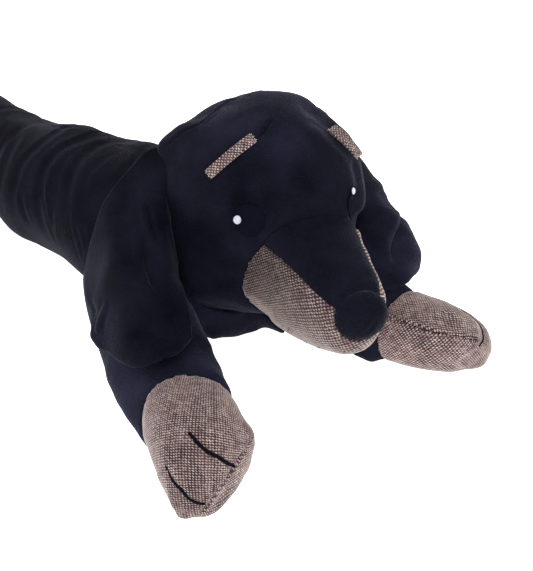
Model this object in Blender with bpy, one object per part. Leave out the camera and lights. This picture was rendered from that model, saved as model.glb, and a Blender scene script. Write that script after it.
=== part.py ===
# Draught excluder in the form of a lying dachshund: a long stuffed velour tube with a big round
# head turned to its right, hanging ears, and two front legs that end in tweed paws.
#
# Each table below is in millimetres. Places are measured from the point on the floor under the
# middle of the skull: x runs forward along the body, y to the dog's left, z up. The finished model
# is moved so that its origin is the middle of its footprint.

import math

import bmesh
import bpy
from mathutils import Matrix, Vector

MM = 0.001
GAP = 0.3                     # between two pieces that are sewn together
FOOTPRINT_MIDDLE = (-288.8, -50.6)

# How the head is held
SKULL_CENTRE = (0.0, 0.0, 95.0)
HEAD_TURN = -28.9             # degrees about the vertical, to the dog's right
HEAD_LEAN = 5.8               # degrees, the left side lower

# Thicknesses
EAR_THICK = 5.0
EYE_THICK = 1.2
GLINT_THICK = 1.2
BROW_THICK = 1.8

# How many sides the sections have
BODY_SIDES = 28
HEAD_SIDES = 32
LEG_SIDES = 24
EYE_SIDES = 24
GLINT_SIDES = 16
SHARP_EDGE = 50               # degrees between faces that meet at an edge

# ----------------------------------------------------------------------------------------------
# Tables
# ----------------------------------------------------------------------------------------------

# Body tube: x, y of the centreline, half width and top. It lies on the floor with a flat strip
# along its underside, which is what is cut off a round section that reaches SUNK below the floor.
# The rump is a half round behind the first row: how long it is and how many sections it has.
SUNK = 2.0
RUMP_LENGTH = 54.0
RUMP_SECTIONS = 5
BODY_ROWS = [
    # x, y, half width, top
    (-710, 10, 48, 94),
    (-676, 10, 48.5, 95),
    (-642, 10, 47, 92),
    (-606, 9, 49, 96),
    (-570, 8, 47.5, 93.5),
    (-532, 7, 49, 96),
    (-496, 5, 47.5, 93.5),
    (-458, 3, 49, 96),
    (-420, 1, 47.5, 93.5),
    (-384, -2, 49, 96),
    (-350, -6, 47.5, 93.5),
    (-318, -9, 49, 96),
    (-288, -12, 47.5, 93.5),
    (-262, -15, 48.5, 94.5),
    (-238, -20, 48.5, 95.5),
    (-214, -27, 51, 100),
    (-192, -29, 53.5, 105),
    (-168, -30, 55.5, 109),
    (-144, -32, 57, 112),
    (-120, -35, 58.5, 115),
    (-92, -38, 60, 118),
    (-64, -40, 61, 120),
    (-38, -41, 54, 98),
    (-16, -41, 48, 78),
    (2, -40, 41, 60),
    (16, -38, 30, 43),
    (26, -36, 16, 28),
]
BODY_FRONT = (31.0, -35.0, 12.0)

# Skull and snout, in the head's own directions: ahead, half width, height of the widest place,
# top and bottom, and how square the upper and the lower half are (2 is an ellipse).
HEAD_REAR = (-77.0, 3.0)
HEAD_ROWS = [
    # ahead, half width, widest at, top, bottom, upper, lower
    (-74, 21, 3, 24, -18, 2.0, 2.0),
    (-67, 38, 3, 41, -35, 2.0, 2.0),
    (-54, 55, 2, 54, -52, 2.1, 2.3),
    (-37, 69, 2, 66, -65, 2.3, 3.4),
    (-17, 76.5, 1, 73, -72, 2.4, 5.0),
    (4, 77.5, -1, 75, -74, 2.3, 6.5),
    (24, 73, -4, 73, -73, 2.3, 6.5),
    (40, 65.5, -6, 67, -69, 2.25, 5.0),
    (52, 57, -6, 59, -65.5, 2.2, 4.4),
    (61, 49, -6, 48.5, -62.5, 2.2, 3.8),
    (68, 43.5, -6, 36, -61.5, 2.3, 3.3),
    (73, 39.5, -6, 25.5, -63, 2.4, 3.0),
    (79, 36.5, -6, 20, -65.5, 2.6, 2.6),
    (92, 32, -8, 17.5, -65, 2.6, 2.4),
    (107, 28.5, -10, 15, -60, 2.5, 2.3),
    (122, 25.5, -12, 12.5, -53, 2.4, 2.2),
    (135, 22.5, -14, 9, -46, 2.3, 2.2),
    (145, 19, -17, 3, -40, 2.2, 2.2),
    (152, 12, -21, -8, -34, 2.0, 2.0),
]
HEAD_TIP = (155.0, -22.0)

# Where the snout is sewn to the face, seen from the side: ahead, up.
SNOUT_SEAM = [(72, 60), (74, 24), (73.5, 8), (68, -8), (64.5, -30), (66, -46), (73, -60), (80, -85)]
SNOUT_CORNER = 2              # the point of that seam where the tweed begins
BRIDGE_SEAM_END = (146, -4)    # the tweed's upper edge runs from the corner to here
SNOUT_REACH = 200.0            # past the nose
SNOUT_SIDE = 120.0             # past the snout's sides

NOSE_CENTRE = (146.0, 0.0, -8.5)
NOSE_RADII = (14.0, 18.2, 16.8)
NOSE_SIDES = (20, 12)

# Eyes, their glints and the brows: where they sit on the skull, as angles from straight ahead
# (sideways and up) seen from its middle. Both glints lie towards the dog's right.
EYE_PLACES = {"right": (34.5, 16.2), "left": (34.5, 18.5)}
EYE_RADIUS = 11.8
GLINT_RADIUS = 3.3
GLINT_PLACES = {"right": (40.0, 17.0), "left": (33.5, 22.8)}
BROW_PLACE = (54.2, 43.9)
BROW_SIZE = (45.0, 8.5)
BROW_SLANT = -54.0
PATCH_START = 40.0             # from the skull's middle to where a patch's rod begins
PATCH_LENGTH = 60.0

# Legs and paws: x, y of the centreline, heading in degrees, half width, height, and how far the
# section is rolled towards the outside of the dog, in degrees. At the cuff, where a paw is sewn to
# its leg, the section leans back at the top by the stated number of millimetres. That lean comes
# in over the leg's last sections and goes out over the paw's first ones.
LEG_SQUARENESS = 2.3
LEG_LEANS = (0.4, 0.8, 1.0)
PAW_LEANS = (1.0, 0.8, 0.5, 0.2)
LEG_RIGHT = [
    # x, y, heading, half width, top, roll
    (-78, -72, -44, 34, 64, 0),
    (-52, -92, -42, 36, 64, 0),
    (-28, -109, -38, 37, 62, 0),
    (-4, -124, -35, 35.5, 58, 0),
    (18, -139, -37, 34, 56, 4),
    (36, -150, -43, 32, 55, 8),
]
CUFF_RIGHT = (57.5, -163, -45.5, 31, 54, 10)
CUFF_LEAN_RIGHT = 15.0
PAW_RIGHT = [
    (65, -168.5, -41, 31.5, 53, 12),
    (75, -175, -36, 32, 50, 12),
    (84, -179.5, -28, 33, 45, 11),
    (90.5, -183, -18, 33, 38, 10),
    (96.5, -185.5, -10, 30, 31, 8),
    (101, -188, -6, 24, 23, 6),
    (104, -189.5, -4, 14.5, 16, 4),
]
PAW_RIGHT_TIP = (105, -190, 8)
LEG_LEFT = [
    (-40, 6, 14, 32, 60, 0),
    (-12, 12, 8, 33, 58, 0),
    (16, 13, -2, 32, 56, 0),
    (44, 11, -6, 30, 54, 0),
    (70, 8, -7, 29, 53, 0),
    (94, 6, -7, 28, 52, 0),
    (109, 6, -7, 28, 51, 0),
]
CUFF_LEFT = (119, 6, -5, 28, 48, 0)
CUFF_LEAN_LEFT = 3.0
PAW_LEFT = [
    (131, 8, 4, 28.5, 47, 0),
    (144, 12, 14, 28, 45, 0),
    (157, 18, 21, 26.5, 40, 0),
    (168, 24, 25, 23.5, 34, 0),
    (177, 29, 27, 18, 26, 0),
    (182, 32, 27, 10, 18, 0),
]
PAW_LEFT_TIP = (185, 33, 9)

# Ears: one row for each line across the flap, from the seam on the head to the hem. Each row
# goes from the front edge over the fold and the belly to the back edge, each as x, y, z.
EAR_GRID = (10, 12)           # panels across and along each flap
EAR_RIGHT = [
    # front, fold, belly, back
    [(-18, -75, 74), (-24, -70, 101), (-35, -60, 121), (-43, -38, 142)],
    [(-9, -86, 73), (-20, -94, 101), (-44, -80, 118), (-66, -54, 130)],
    [(0, -95, 70), (-18, -106, 93), (-52, -97, 103), (-75, -83, 112)],
    [(12, -107, 68), (-5, -117, 82), (-42, -114, 92), (-79, -102, 85)],
    [(23, -115, 67), (11, -128, 74), (-20, -134, 82), (-79, -114, 54)],
    [(29, -120, 66), (22, -139, 70), (1, -155, 74), (-43, -146, 50)],
    [(33, -126, 65), (34, -152, 66), (25, -172, 64), (-10, -164, 48)],
]
EAR_LEFT = [
    [(50, 52, 59), (47, 58, 85), (35, 66, 106), (14, 67, 129)],
    [(57, 38, 61), (56, 70, 79), (42, 83, 94), (20, 81, 110)],
    [(70, 22, 62), (68, 72, 71), (46, 94, 77), (24, 95, 84)],
    [(85, 7, 62), (80, 70, 63), (55, 101, 61), (31, 106, 58)],
    [(98, 0, 61), (91, 64, 55), (69, 99, 44), (43, 111, 34)],
    [(109, -4, 60), (103, 58, 47), (82, 95, 29), (58, 110, 17)],
    [(116, -5, 58), (113, 50, 38), (93, 84, 17), (72, 102, 9)],
]

# ----------------------------------------------------------------------------------------------
# Helpers
# ----------------------------------------------------------------------------------------------


def make_material(name, colour, roughness):
    material = bpy.data.materials.new(name)
    material.use_nodes = True
    shader = material.node_tree.nodes["Principled BSDF"]
    shader.inputs["Base Color"].default_value = (*colour, 1.0)
    shader.inputs["Roughness"].default_value = roughness
    shader.inputs["Metallic"].default_value = 0.0
    return material


def head_frame():
    turn = Matrix.Rotation(math.radians(HEAD_TURN), 4, "Z")
    lean = Matrix.Rotation(math.radians(-HEAD_LEAN), 4, "X")
    return Matrix.Translation(SKULL_CENTRE) @ turn @ lean


def rounded_section(half_width, widest, top, bottom, upper, lower, sides):
    """(across, up) points of a closed rounded outline, counted round from its left side."""
    points = []
    for k in range(sides):
        angle = 2 * math.pi * k / sides
        cosine, sine = math.cos(angle), math.sin(angle)
        power = upper if sine >= 0 else lower
        reach = (top - widest) if sine >= 0 else (widest - bottom)
        across = math.copysign(abs(cosine) ** (2 / power), cosine) * half_width
        up = widest + math.copysign(abs(sine) ** (2 / power), sine) * reach
        points.append((across, up))
    return points


def grow_ring(bm, ring, places):
    """Extrude a closed ring of edges and put its new points in the given places."""
    edges = [bm.edges.get((ring[k - 1], ring[k])) for k in range(len(ring))]
    grown = bmesh.ops.extrude_edge_only(bm, edges=edges)
    fresh = {item for item in grown["geom"] if isinstance(item, bmesh.types.BMVert)}
    following = []
    for vert in ring:
        others = [edge.other_vert(vert) for edge in vert.link_edges]
        following.append(next(other for other in others if other in fresh))
    for vert, place in zip(following, places):
        vert.co = place
    return following


def close_end(bm, ring, pole):
    """Fill the end of a tube with a fan of triangles to its pole."""
    cap = bm.faces.new(ring)
    fan = bmesh.ops.poke(bm, faces=[cap])
    fan["verts"][0].co = pole


def loft(name, rings, rear, front, grow=0.0, floor=None):
    """One closed body through rings of points, in millimetres, with a pole at each end."""
    bm = bmesh.new()
    first = [bm.verts.new(place) for place in rings[0]]
    for k in range(len(first)):
        bm.edges.new((first[k - 1], first[k]))
    ring = first
    for places in rings[1:]:
        ring = grow_ring(bm, ring, places)
    close_end(bm, ring, front)
    close_end(bm, first, rear)
    bmesh.ops.recalc_face_normals(bm, faces=bm.faces)
    if grow:
        bm.normal_update()
        for vert, normal in [(vert, vert.normal.copy()) for vert in bm.verts]:
            vert.co += normal * grow
    if floor is not None:
        for vert in bm.verts:
            vert.co.z = max(vert.co.z, floor)
    return finish(name, bm)


def finish(name, bm):
    """Turn a bmesh in millimetres into an object in metres, moved to the footprint's middle."""
    middle = Vector((*FOOTPRINT_MIDDLE, 0.0))
    for vert in bm.verts:
        vert.co = (vert.co - middle) * MM
    bmesh.ops.triangulate(bm, faces=bm.faces)
    mesh = bpy.data.meshes.new(name)
    bm.to_mesh(mesh)
    bm.free()
    mesh.shade_smooth()
    mesh.set_sharp_from_angle(angle=math.radians(SHARP_EDGE))
    body = bpy.data.objects.new(name, mesh)
    bpy.context.scene.collection.objects.link(body)
    return body


def as_cutter(body):
    body.hide_render = True
    body.display_type = "WIRE"
    return body


def cut(body, cutter, operation="DIFFERENCE"):
    modifier = body.modifiers.new(cutter.name, "BOOLEAN")
    modifier.operation = operation
    modifier.solver = "EXACT"
    modifier.object = cutter


# ----------------------------------------------------------------------------------------------
# Body
# ----------------------------------------------------------------------------------------------


def body_ring(x, y, half_width, top, shrink=1.0):
    centre = (top - SUNK) / 2
    reach = (centre + SUNK) * shrink
    outline = rounded_section(
        half_width * shrink, centre, centre + reach, centre - reach, 2, 2, BODY_SIDES)
    return [Vector((x, y + across, up)) for across, up in outline]


def body_shape(name, grow=0.0):
    x, y, half_width, top = BODY_ROWS[0]
    rings = []
    for k in range(RUMP_SECTIONS):
        angle = math.pi / 2 * (k + 0.5) / (RUMP_SECTIONS + 0.5)
        rings.append(body_ring(x - math.cos(angle) * RUMP_LENGTH, y, half_width, top, math.sin(angle)))
    rings += [body_ring(*row) for row in BODY_ROWS]
    rear = Vector((x - RUMP_LENGTH, y, (top - SUNK) / 2))
    return loft(name, rings, rear, Vector(BODY_FRONT), grow, None if grow else 0.0)


# ----------------------------------------------------------------------------------------------
# Head and snout
# ----------------------------------------------------------------------------------------------


def head_shape(name, grow=0.0):
    frame = head_frame()
    rings = []
    for ahead, half_width, widest, top, bottom, upper, lower in HEAD_ROWS:
        outline = rounded_section(half_width, widest, top, bottom, upper, lower, HEAD_SIDES)
        rings.append([frame @ Vector((ahead, across, up)) for across, up in outline])
    rear = frame @ Vector((HEAD_REAR[0], 0.0, HEAD_REAR[1]))
    front = frame @ Vector((HEAD_TIP[0], 0.0, HEAD_TIP[1]))
    return loft(name, rings, rear, front, grow)


def side_prism(name, outline):
    """A wide block whose side view, in the head's directions, is the given outline."""
    frame = head_frame()
    bm = bmesh.new()
    verts = [bm.verts.new(frame @ Vector((ahead, -SNOUT_SIDE, up))) for ahead, up in outline]
    face = bm.faces.new(verts)
    grown = bmesh.ops.extrude_face_region(bm, geom=[face])
    shift = frame.to_3x3() @ Vector((0.0, 2 * SNOUT_SIDE, 0.0))
    moved = [item for item in grown["geom"] if isinstance(item, bmesh.types.BMVert)]
    bmesh.ops.translate(bm, vec=shift, verts=moved)
    bmesh.ops.recalc_face_normals(bm, faces=bm.faces)
    return as_cutter(finish(name, bm))


def nose_shape(name, grow=0.0):
    bm = bmesh.new()
    bmesh.ops.create_uvsphere(bm, u_segments=NOSE_SIDES[0], v_segments=NOSE_SIDES[1], radius=1.0)
    radii = [radius + grow for radius in NOSE_RADII]
    stretch = Matrix.Diagonal((*radii, 1.0))
    upright = Matrix.Rotation(math.pi / 2, 4, "Y")
    place = head_frame() @ Matrix.Translation(NOSE_CENTRE) @ stretch @ upright
    bmesh.ops.transform(bm, matrix=place, verts=bm.verts)
    bmesh.ops.recalc_face_normals(bm, faces=bm.faces)
    return finish(name, bm)


def snout_prisms():
    """The block in front of the face seam, and its parts above and below the bridge seam."""
    corner = SNOUT_SEAM[SNOUT_CORNER]
    above, below = SNOUT_SEAM[0][1], SNOUT_SEAM[-1][1]
    bridge_seam = [corner, BRIDGE_SEAM_END, (SNOUT_REACH, BRIDGE_SEAM_END[1])]
    tweed_edge = [(ahead, up - GAP) for ahead, up in bridge_seam]
    upper = SNOUT_SEAM[:SNOUT_CORNER] + bridge_seam + [(SNOUT_REACH, above)]
    lower = SNOUT_SEAM[SNOUT_CORNER + 1:] + [(SNOUT_REACH, below)] + tweed_edge[::-1]
    whole = [(ahead - GAP, up) for ahead, up in SNOUT_SEAM] + [(SNOUT_REACH, below), (SNOUT_REACH, above)]
    return (
        side_prism("cutter_snout_upper", upper),
        side_prism("cutter_snout_lower", lower),
        side_prism("cutter_snout", whole),
    )


# ----------------------------------------------------------------------------------------------
# Eyes and brows
# ----------------------------------------------------------------------------------------------


def skull_direction(sideways, up, side):
    a, e = math.radians(sideways), math.radians(up)
    return Vector((math.cos(e) * math.cos(a), side * math.cos(e) * math.sin(a), math.sin(e)))


def patch_rod(name, place, side, outline, slant=0.0):
    """A rod of the given outline that stands out of the skull at a place on it."""
    direction = skull_direction(*place, side)
    sideways = Vector((0, 0, 1)).cross(direction).normalized()
    up = direction.cross(sideways)
    turn = Matrix.Rotation(math.radians(slant) * side, 3, direction)
    sideways, up = turn @ sideways, turn @ up
    frame = head_frame()
    bm = bmesh.new()
    start = direction * PATCH_START
    verts = [bm.verts.new(frame @ (start + sideways * a + up * b)) for a, b in outline]
    face = bm.faces.new(verts)
    grown = bmesh.ops.extrude_face_region(bm, geom=[face])
    moved = [item for item in grown["geom"] if isinstance(item, bmesh.types.BMVert)]
    shift = frame.to_3x3() @ (direction * PATCH_LENGTH)
    bmesh.ops.translate(bm, vec=shift, verts=moved)
    bmesh.ops.recalc_face_normals(bm, faces=bm.faces)
    return finish(name, bm)


def round_outline(radius, sides):
    angles = [2 * math.pi * k / sides for k in range(sides)]
    return [(radius * math.cos(angle), radius * math.sin(angle)) for angle in angles]


def strip_outline(length, width):
    a, b = length / 2, width / 2
    return [(-a, -b), (a, -b), (a, b), (-a, b)]


# ----------------------------------------------------------------------------------------------
# Legs and paws
# ----------------------------------------------------------------------------------------------


def leg_ring(row, side, lean):
    x, y, heading, half_width, top, roll = row
    centre = top / 2
    outline = rounded_section(
        half_width, centre, top, -SUNK, LEG_SQUARENESS, LEG_SQUARENESS, LEG_SIDES)
    tilt = math.radians(roll) * side
    turn = math.radians(heading)
    left = Vector((-math.sin(turn), math.cos(turn), 0.0))
    ahead = Vector((math.cos(turn), math.sin(turn), 0.0))
    ring = []
    for across, up in outline:
        a = across * math.cos(tilt) - (up - centre) * math.sin(tilt)
        b = centre + across * math.sin(tilt) + (up - centre) * math.cos(tilt)
        back = lean * (b - centre) / centre
        ring.append(Vector((x, y, 0.0)) + left * a - ahead * back + Vector((0, 0, b)))
    return ring


def cuff_shift(cuff, distance):
    """The cuff's row, moved forward along the leg by a distance."""
    x, y, heading = cuff[:3]
    turn = math.radians(heading)
    return (x + math.cos(turn) * distance, y + math.sin(turn) * distance, *cuff[2:])


def limb(name, rows, leans, side, rear, front):
    rings = [leg_ring(row, side, lean) for row, lean in zip(rows, leans)]
    return loft(name, rings, rear, front, floor=0.0)


def ring_middle(row):
    return Vector((row[0], row[1], row[4] / 2))


# ----------------------------------------------------------------------------------------------
# Ears
# ----------------------------------------------------------------------------------------------


def curve_through(points, t):
    """Point at t (0 to 1) on a smooth curve through the given points."""
    last = len(points) - 1
    place = min(max(t, 0.0), 1.0) * last
    k = min(int(place), last - 1)
    u = place - k
    before = points[k - 1] if k > 0 else points[0] * 2 - points[1]
    after = points[k + 2] if k + 2 <= last else points[last] * 2 - points[last - 1]
    here, there = points[k], points[k + 1]
    return 0.5 * (
        2 * here
        + (there - before) * u
        + (2 * before - 5 * here + 4 * there - after) * u * u
        + (3 * here - before - 3 * there + after) * u ** 3
    )


def ear(name, rows):
    lines = [[Vector(place) for place in row] for row in rows]
    bm = bmesh.new()
    bmesh.ops.create_grid(bm, x_segments=EAR_GRID[0], y_segments=EAR_GRID[1], size=0.5)
    for vert in bm.verts:
        s, t = vert.co.x + 0.5, vert.co.y + 0.5
        crossing = [curve_through([line[k] for line in lines], t) for k in range(len(lines[0]))]
        vert.co = curve_through(crossing, s)
    body = finish(name, bm)
    sheet = body.modifiers.new("thickness", "SOLIDIFY")
    sheet.thickness = EAR_THICK * MM
    sheet.offset = 0.0
    sheet.use_even_offset = True
    return body


# ----------------------------------------------------------------------------------------------
# Assembly
# ----------------------------------------------------------------------------------------------


def build():
    for old in list(bpy.data.objects):
        bpy.data.objects.remove(old)

    velour = make_material("black velour", (0.006, 0.006, 0.009), 0.9)
    tweed = make_material("brown tweed", (0.30, 0.22, 0.18), 0.95)
    eye_cloth = make_material("black satin", (0.004, 0.004, 0.006), 0.6)
    white = make_material("white felt", (0.85, 0.85, 0.85), 0.8)

    upper, lower, snout = snout_prisms()
    nose_room = as_cutter(nose_shape("cutter_nose", GAP))
    head_room = as_cutter(head_shape("cutter_head", GAP))
    body_room = as_cutter(body_shape("cutter_body", GAP))

    head = head_shape("head")
    cut(head, snout)
    bridge = head_shape("bridge")
    cut(bridge, upper, "INTERSECT")
    cut(bridge, nose_room)
    muzzle = head_shape("muzzle")
    cut(muzzle, lower, "INTERSECT")
    cut(muzzle, nose_room)
    nose = nose_shape("nose")

    body = body_shape("body")
    cut(body, head_room)

    legs = []
    paws = []
    for side_name, side, leg_rows, cuff, lean, paw_rows, tip in (
        ("right", -1, LEG_RIGHT, CUFF_RIGHT, CUFF_LEAN_RIGHT, PAW_RIGHT, PAW_RIGHT_TIP),
        ("left", 1, LEG_LEFT, CUFF_LEFT, CUFF_LEAN_LEFT, PAW_LEFT, PAW_LEFT_TIP),
    ):
        rows = leg_rows + [cuff_shift(cuff, -GAP / 2)]
        leans = [0.0] * (len(rows) - len(LEG_LEANS)) + [lean * part for part in LEG_LEANS]
        leg = limb("leg_" + side_name, rows, leans, side, ring_middle(rows[0]), ring_middle(rows[-1]))
        cut(leg, body_room)
        cut(leg, head_room)
        legs.append(leg)
        rows = [cuff_shift(cuff, GAP / 2)] + paw_rows
        leans = [lean * part for part in PAW_LEANS] + [0.0] * (len(rows) - len(PAW_LEANS))
        paws.append(limb("paw_" + side_name, rows, leans, side, ring_middle(rows[0]), Vector(tip)))

    ears = [ear("ear_right", EAR_RIGHT), ear("ear_left", EAR_LEFT)]
    for flap in ears:
        cut(flap, head_room)

    over_eye = GAP + EYE_THICK
    shells = {}
    for name, grow in (
        ("eye", over_eye),
        ("glint_under", over_eye + GAP),
        ("glint", over_eye + GAP + GLINT_THICK),
        ("brow", GAP + BROW_THICK),
    ):
        shells[name] = as_cutter(head_shape("cutter_over_" + name, grow))
    eyes, glints, brows = [], [], []
    for side_name, side in (("right", -1), ("left", 1)):
        outline = round_outline(EYE_RADIUS, EYE_SIDES)
        eye = patch_rod("eye_" + side_name, EYE_PLACES[side_name], side, outline)
        cut(eye, shells["eye"], "INTERSECT")
        cut(eye, head_room)
        eyes.append(eye)
        outline = round_outline(GLINT_RADIUS, GLINT_SIDES)
        glint = patch_rod("glint_" + side_name, GLINT_PLACES[side_name], side, outline)
        cut(glint, shells["glint"], "INTERSECT")
        cut(glint, shells["glint_under"])
        glints.append(glint)
        outline = strip_outline(*BROW_SIZE)
        brow = patch_rod("brow_" + side_name, BROW_PLACE, side, outline, BROW_SLANT)
        cut(brow, shells["brow"], "INTERSECT")
        cut(brow, head_room)
        brows.append(brow)

    for group, material in (
        ([body, head, bridge, nose, *legs, *ears], velour),
        ([muzzle, *paws, *brows], tweed),
        (eyes, eye_cloth),
        (glints, white),
    ):
        for piece in group:
            piece.data.materials.append(material)


build()
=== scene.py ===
# Draught excluder in the form of a lying dachshund: black velour tube, head and legs,
# tweed muzzle, brows and paws, satin eyes and embroidered toes.
import math
import random

import bmesh
import bpy
import numpy as np
from mathutils import Matrix, Vector
from mathutils.bvhtree import BVHTree


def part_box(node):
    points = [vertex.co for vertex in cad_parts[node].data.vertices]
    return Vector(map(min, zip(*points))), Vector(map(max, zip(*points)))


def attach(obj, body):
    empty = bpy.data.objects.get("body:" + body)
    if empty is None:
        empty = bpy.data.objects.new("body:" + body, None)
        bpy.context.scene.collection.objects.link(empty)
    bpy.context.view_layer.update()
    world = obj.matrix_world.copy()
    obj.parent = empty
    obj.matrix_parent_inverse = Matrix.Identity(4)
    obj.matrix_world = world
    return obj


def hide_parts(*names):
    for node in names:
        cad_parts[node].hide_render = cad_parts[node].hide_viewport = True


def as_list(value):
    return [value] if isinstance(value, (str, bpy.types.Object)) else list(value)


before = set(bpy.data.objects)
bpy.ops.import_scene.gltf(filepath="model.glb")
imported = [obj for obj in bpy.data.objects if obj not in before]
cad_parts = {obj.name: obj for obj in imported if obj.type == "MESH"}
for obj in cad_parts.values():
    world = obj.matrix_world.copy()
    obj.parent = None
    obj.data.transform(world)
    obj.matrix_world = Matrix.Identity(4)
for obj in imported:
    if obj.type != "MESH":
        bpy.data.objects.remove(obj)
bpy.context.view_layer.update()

mm = 0.001
footprintMiddle = Vector((288.8, 50.6, 0.0))     # from the floor under the skull to the frame's origin
headMatrix = (
    Matrix.Translation(footprintMiddle * mm + Vector((0, 0, 95 * mm)))
    @ Matrix.Rotation(math.radians(-28.9), 4, "Z")
    @ Matrix.Rotation(math.radians(-5.8), 4, "X")
)


# small helpers

def linear(code):
    # sRGB hex to the linear colour that the shaders use
    parts = [int(code[i:i + 2], 16) / 255 for i in (0, 2, 4)]
    parts = [c / 12.92 if c <= 0.04045 else ((c + 0.055) / 1.055) ** 2.4 for c in parts]
    return (*parts, 1.0)


def onFloor(points):
    # millimetres from the point under the skull, to metres in the frame
    return [(Vector(p) + footprintMiddle) * mm for p in points]


def onHead(points):
    return [headMatrix @ (Vector(p) * mm) for p in points]


def inHead(co):
    # metres in the frame to millimetres from the skull's middle
    return (co - np.array(headMatrix.translation)) @ np.array(headMatrix.to_3x3()) / mm


def fromBmesh(name, bm, smooth=True):
    mesh = bpy.data.meshes.new(name)
    bm.to_mesh(mesh)
    bm.free()
    if smooth:
        mesh.shade_smooth()
    piece = bpy.data.objects.new(name, mesh)
    bpy.context.scene.collection.objects.link(piece)
    return piece


def cadCopy(name, node):
    bm = bmesh.new()
    bm.from_mesh(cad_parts[node].data)
    bmesh.ops.remove_doubles(bm, verts=bm.verts, dist=0.00001)
    return fromBmesh(name, bm)


def bake(piece, kind, **settings):
    # add a modifier, apply it at once
    modifier = piece.modifiers.new(kind, kind)
    for key, value in settings.items():
        setattr(modifier, key, value)
    graph = bpy.context.evaluated_depsgraph_get()
    mesh = bpy.data.meshes.new_from_object(
        piece.evaluated_get(graph), preserve_all_data_layers=True, depsgraph=graph)
    piece.modifiers.clear()
    old, piece.data = piece.data, mesh
    bpy.data.meshes.remove(old)
    mesh.name = piece.name
    mesh.shade_smooth()
    return piece


def fetch(items, name, width=3, kind=np.float32):
    # one property of all vertices, corners or faces
    out = np.zeros(len(items) * width, kind)
    items.foreach_get(name, out)
    return out.reshape(-1, width)


def places(piece):
    return fetch(piece.data.vertices, "co").astype(float)


def setPlaces(piece, co):
    piece.data.vertices.foreach_set("co", co.astype(np.float32).ravel())
    piece.data.update()


def normals(piece):
    return fetch(piece.data.vertex_normals, "vector").astype(float)


def surfaceTree(piece):
    bm = bmesh.new()
    bm.from_mesh(piece.data)
    tree = BVHTree.FromBMesh(bm)
    bm.free()
    return tree


def smoothStep(x, low, high):
    t = np.clip((x - low) / (high - low), 0, 1)
    return t * t * (3 - 2 * t)


def bend(a, b, c, d, u):
    # the smooth way from b to c of a curve through four points
    return 0.5 * (2 * b + (c - a) * u + (2 * a - 5 * b + 4 * c - d) * u ** 2
                  + (3 * b - a - 3 * c + d) * u ** 3)


def curveThrough(points, t):
    # a smooth line through the points, t from 0 to 1
    points = np.asarray(points, float)
    last = len(points) - 1
    place = np.clip(np.asarray(t, float), 0, 1) * last
    k = np.minimum(place.astype(int), last - 1)
    u = (place - k)[..., None]
    padded = np.concatenate([[2 * points[0] - points[1]], points, [2 * points[-1] - points[-2]]])
    return bend(*(padded[k + j] for j in range(4)), u)


def evenly(points, step):
    # the smooth line again, with a point every step (metres)
    line = curveThrough(points, np.linspace(0, 1, 40 * len(points)))
    along = np.concatenate([[0], np.cumsum(np.linalg.norm(np.diff(line, axis=0), axis=1))])
    at = np.linspace(0, along[-1], max(2, int(along[-1] / step)))
    return np.stack([np.interp(at, along, line[:, k]) for k in range(3)], axis=1)


def nearLine(at, line, widths, radius):
    # what lies within so many radii of a line, in parts: its index, the line's nearest point, the gap
    partSize = 4000
    low, high = line.min(0) - widths * radius, line.max(0) + widths * radius
    near = np.where(((at > low) & (at < high)).all(1))[0]
    for part in np.array_split(near, max(1, len(near) // partSize)):
        if len(part):
            gap = np.linalg.norm(at[part, None] - line[None], axis=2)
            k = gap.argmin(1)
            yield part, k, gap[np.arange(len(part)), k] / radius


def fold(co, normal, points, depth, width, shoulders=0.35, fade=0.18):
    # a trough (depth > 0) or a ridge (depth < 0) along a line, in metres, its ends faded out
    line = evenly(points, 0.0015)
    for part, k, d in nearLine(co, line, 4, width):
        s = k / (len(line) - 1)
        ends = smoothStep(s, 0, fade) * smoothStep(1 - s, 0, fade) if fade else 1.0
        shape = -np.exp(-d ** 2) + shoulders * np.exp(-((d - 1.9) / 0.8) ** 2)
        co[part] += normal[part] * (depth * ends * shape)[:, None]


# the picture's right and up as directions in the frame
rightward = np.array((0.819, 0.574, 0.0))
upward = np.array((-0.345, 0.493, 0.799))
toViewer = np.array((0.458, -0.654, 0.602))
levelDown = np.array((0.574, -0.819, 0.0)) / 0.602     # as far along the floor as a step down looks


def seen(right, up):
    return (rightward * right + upward * up) * mm


def pull(co, points, shift, radius):
    # move what lies near a line by a shift, both in metres, fading out over the radius
    for part, _, gap in nearLine(co, evenly(points, 0.002), 3, radius):
        co[part] += np.exp(-gap ** 2)[:, None] * shift


def pullAll(co, moves, toFrame, flatten=1.0):
    # each move: line in mm, right and up in the picture, radius
    for line, right, up, radius in moves:
        pull(co, toFrame(line), seen(right, up) * (1, 1, flatten), radius * mm)


def overlap(co, normal, points, height, width, reach, fades=(0.25, 0.25)):
    # cloth folded over: to the right of a line it lies higher, and sinks back over the reach
    line = evenly(points, 0.0015)
    gap = np.linalg.norm(co[:, None] - line[None], axis=2)
    k = gap.argmin(1)
    gap = gap[np.arange(len(co)), k]
    ahead = np.gradient(line, axis=0)[k]
    side = np.cross(ahead / np.linalg.norm(ahead, axis=1)[:, None], toViewer)
    side *= np.sign(side @ rightward)[:, None]
    signed = ((co - line[k]) * side).sum(1)
    s = k / (len(line) - 1)
    ends = smoothStep(s, 0, fades[0]) * smoothStep(1 - s, 0, fades[1])
    shape = smoothStep(signed, -width, width) - 0.5
    co += normal * (height * ends * shape * np.exp(-(gap / reach) ** 2))[:, None]


def swell(co, place):
    # a fuller place of the head: middle, radius and height in mm, direction
    centre, radius, height, direction = place
    d = np.linalg.norm(co - np.array(onHead([centre])[0]), axis=1) / (radius * mm)
    co += np.array(headMatrix.to_3x3() @ Vector(direction)) * (height * mm * np.exp(-d ** 2))[:, None]


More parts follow.
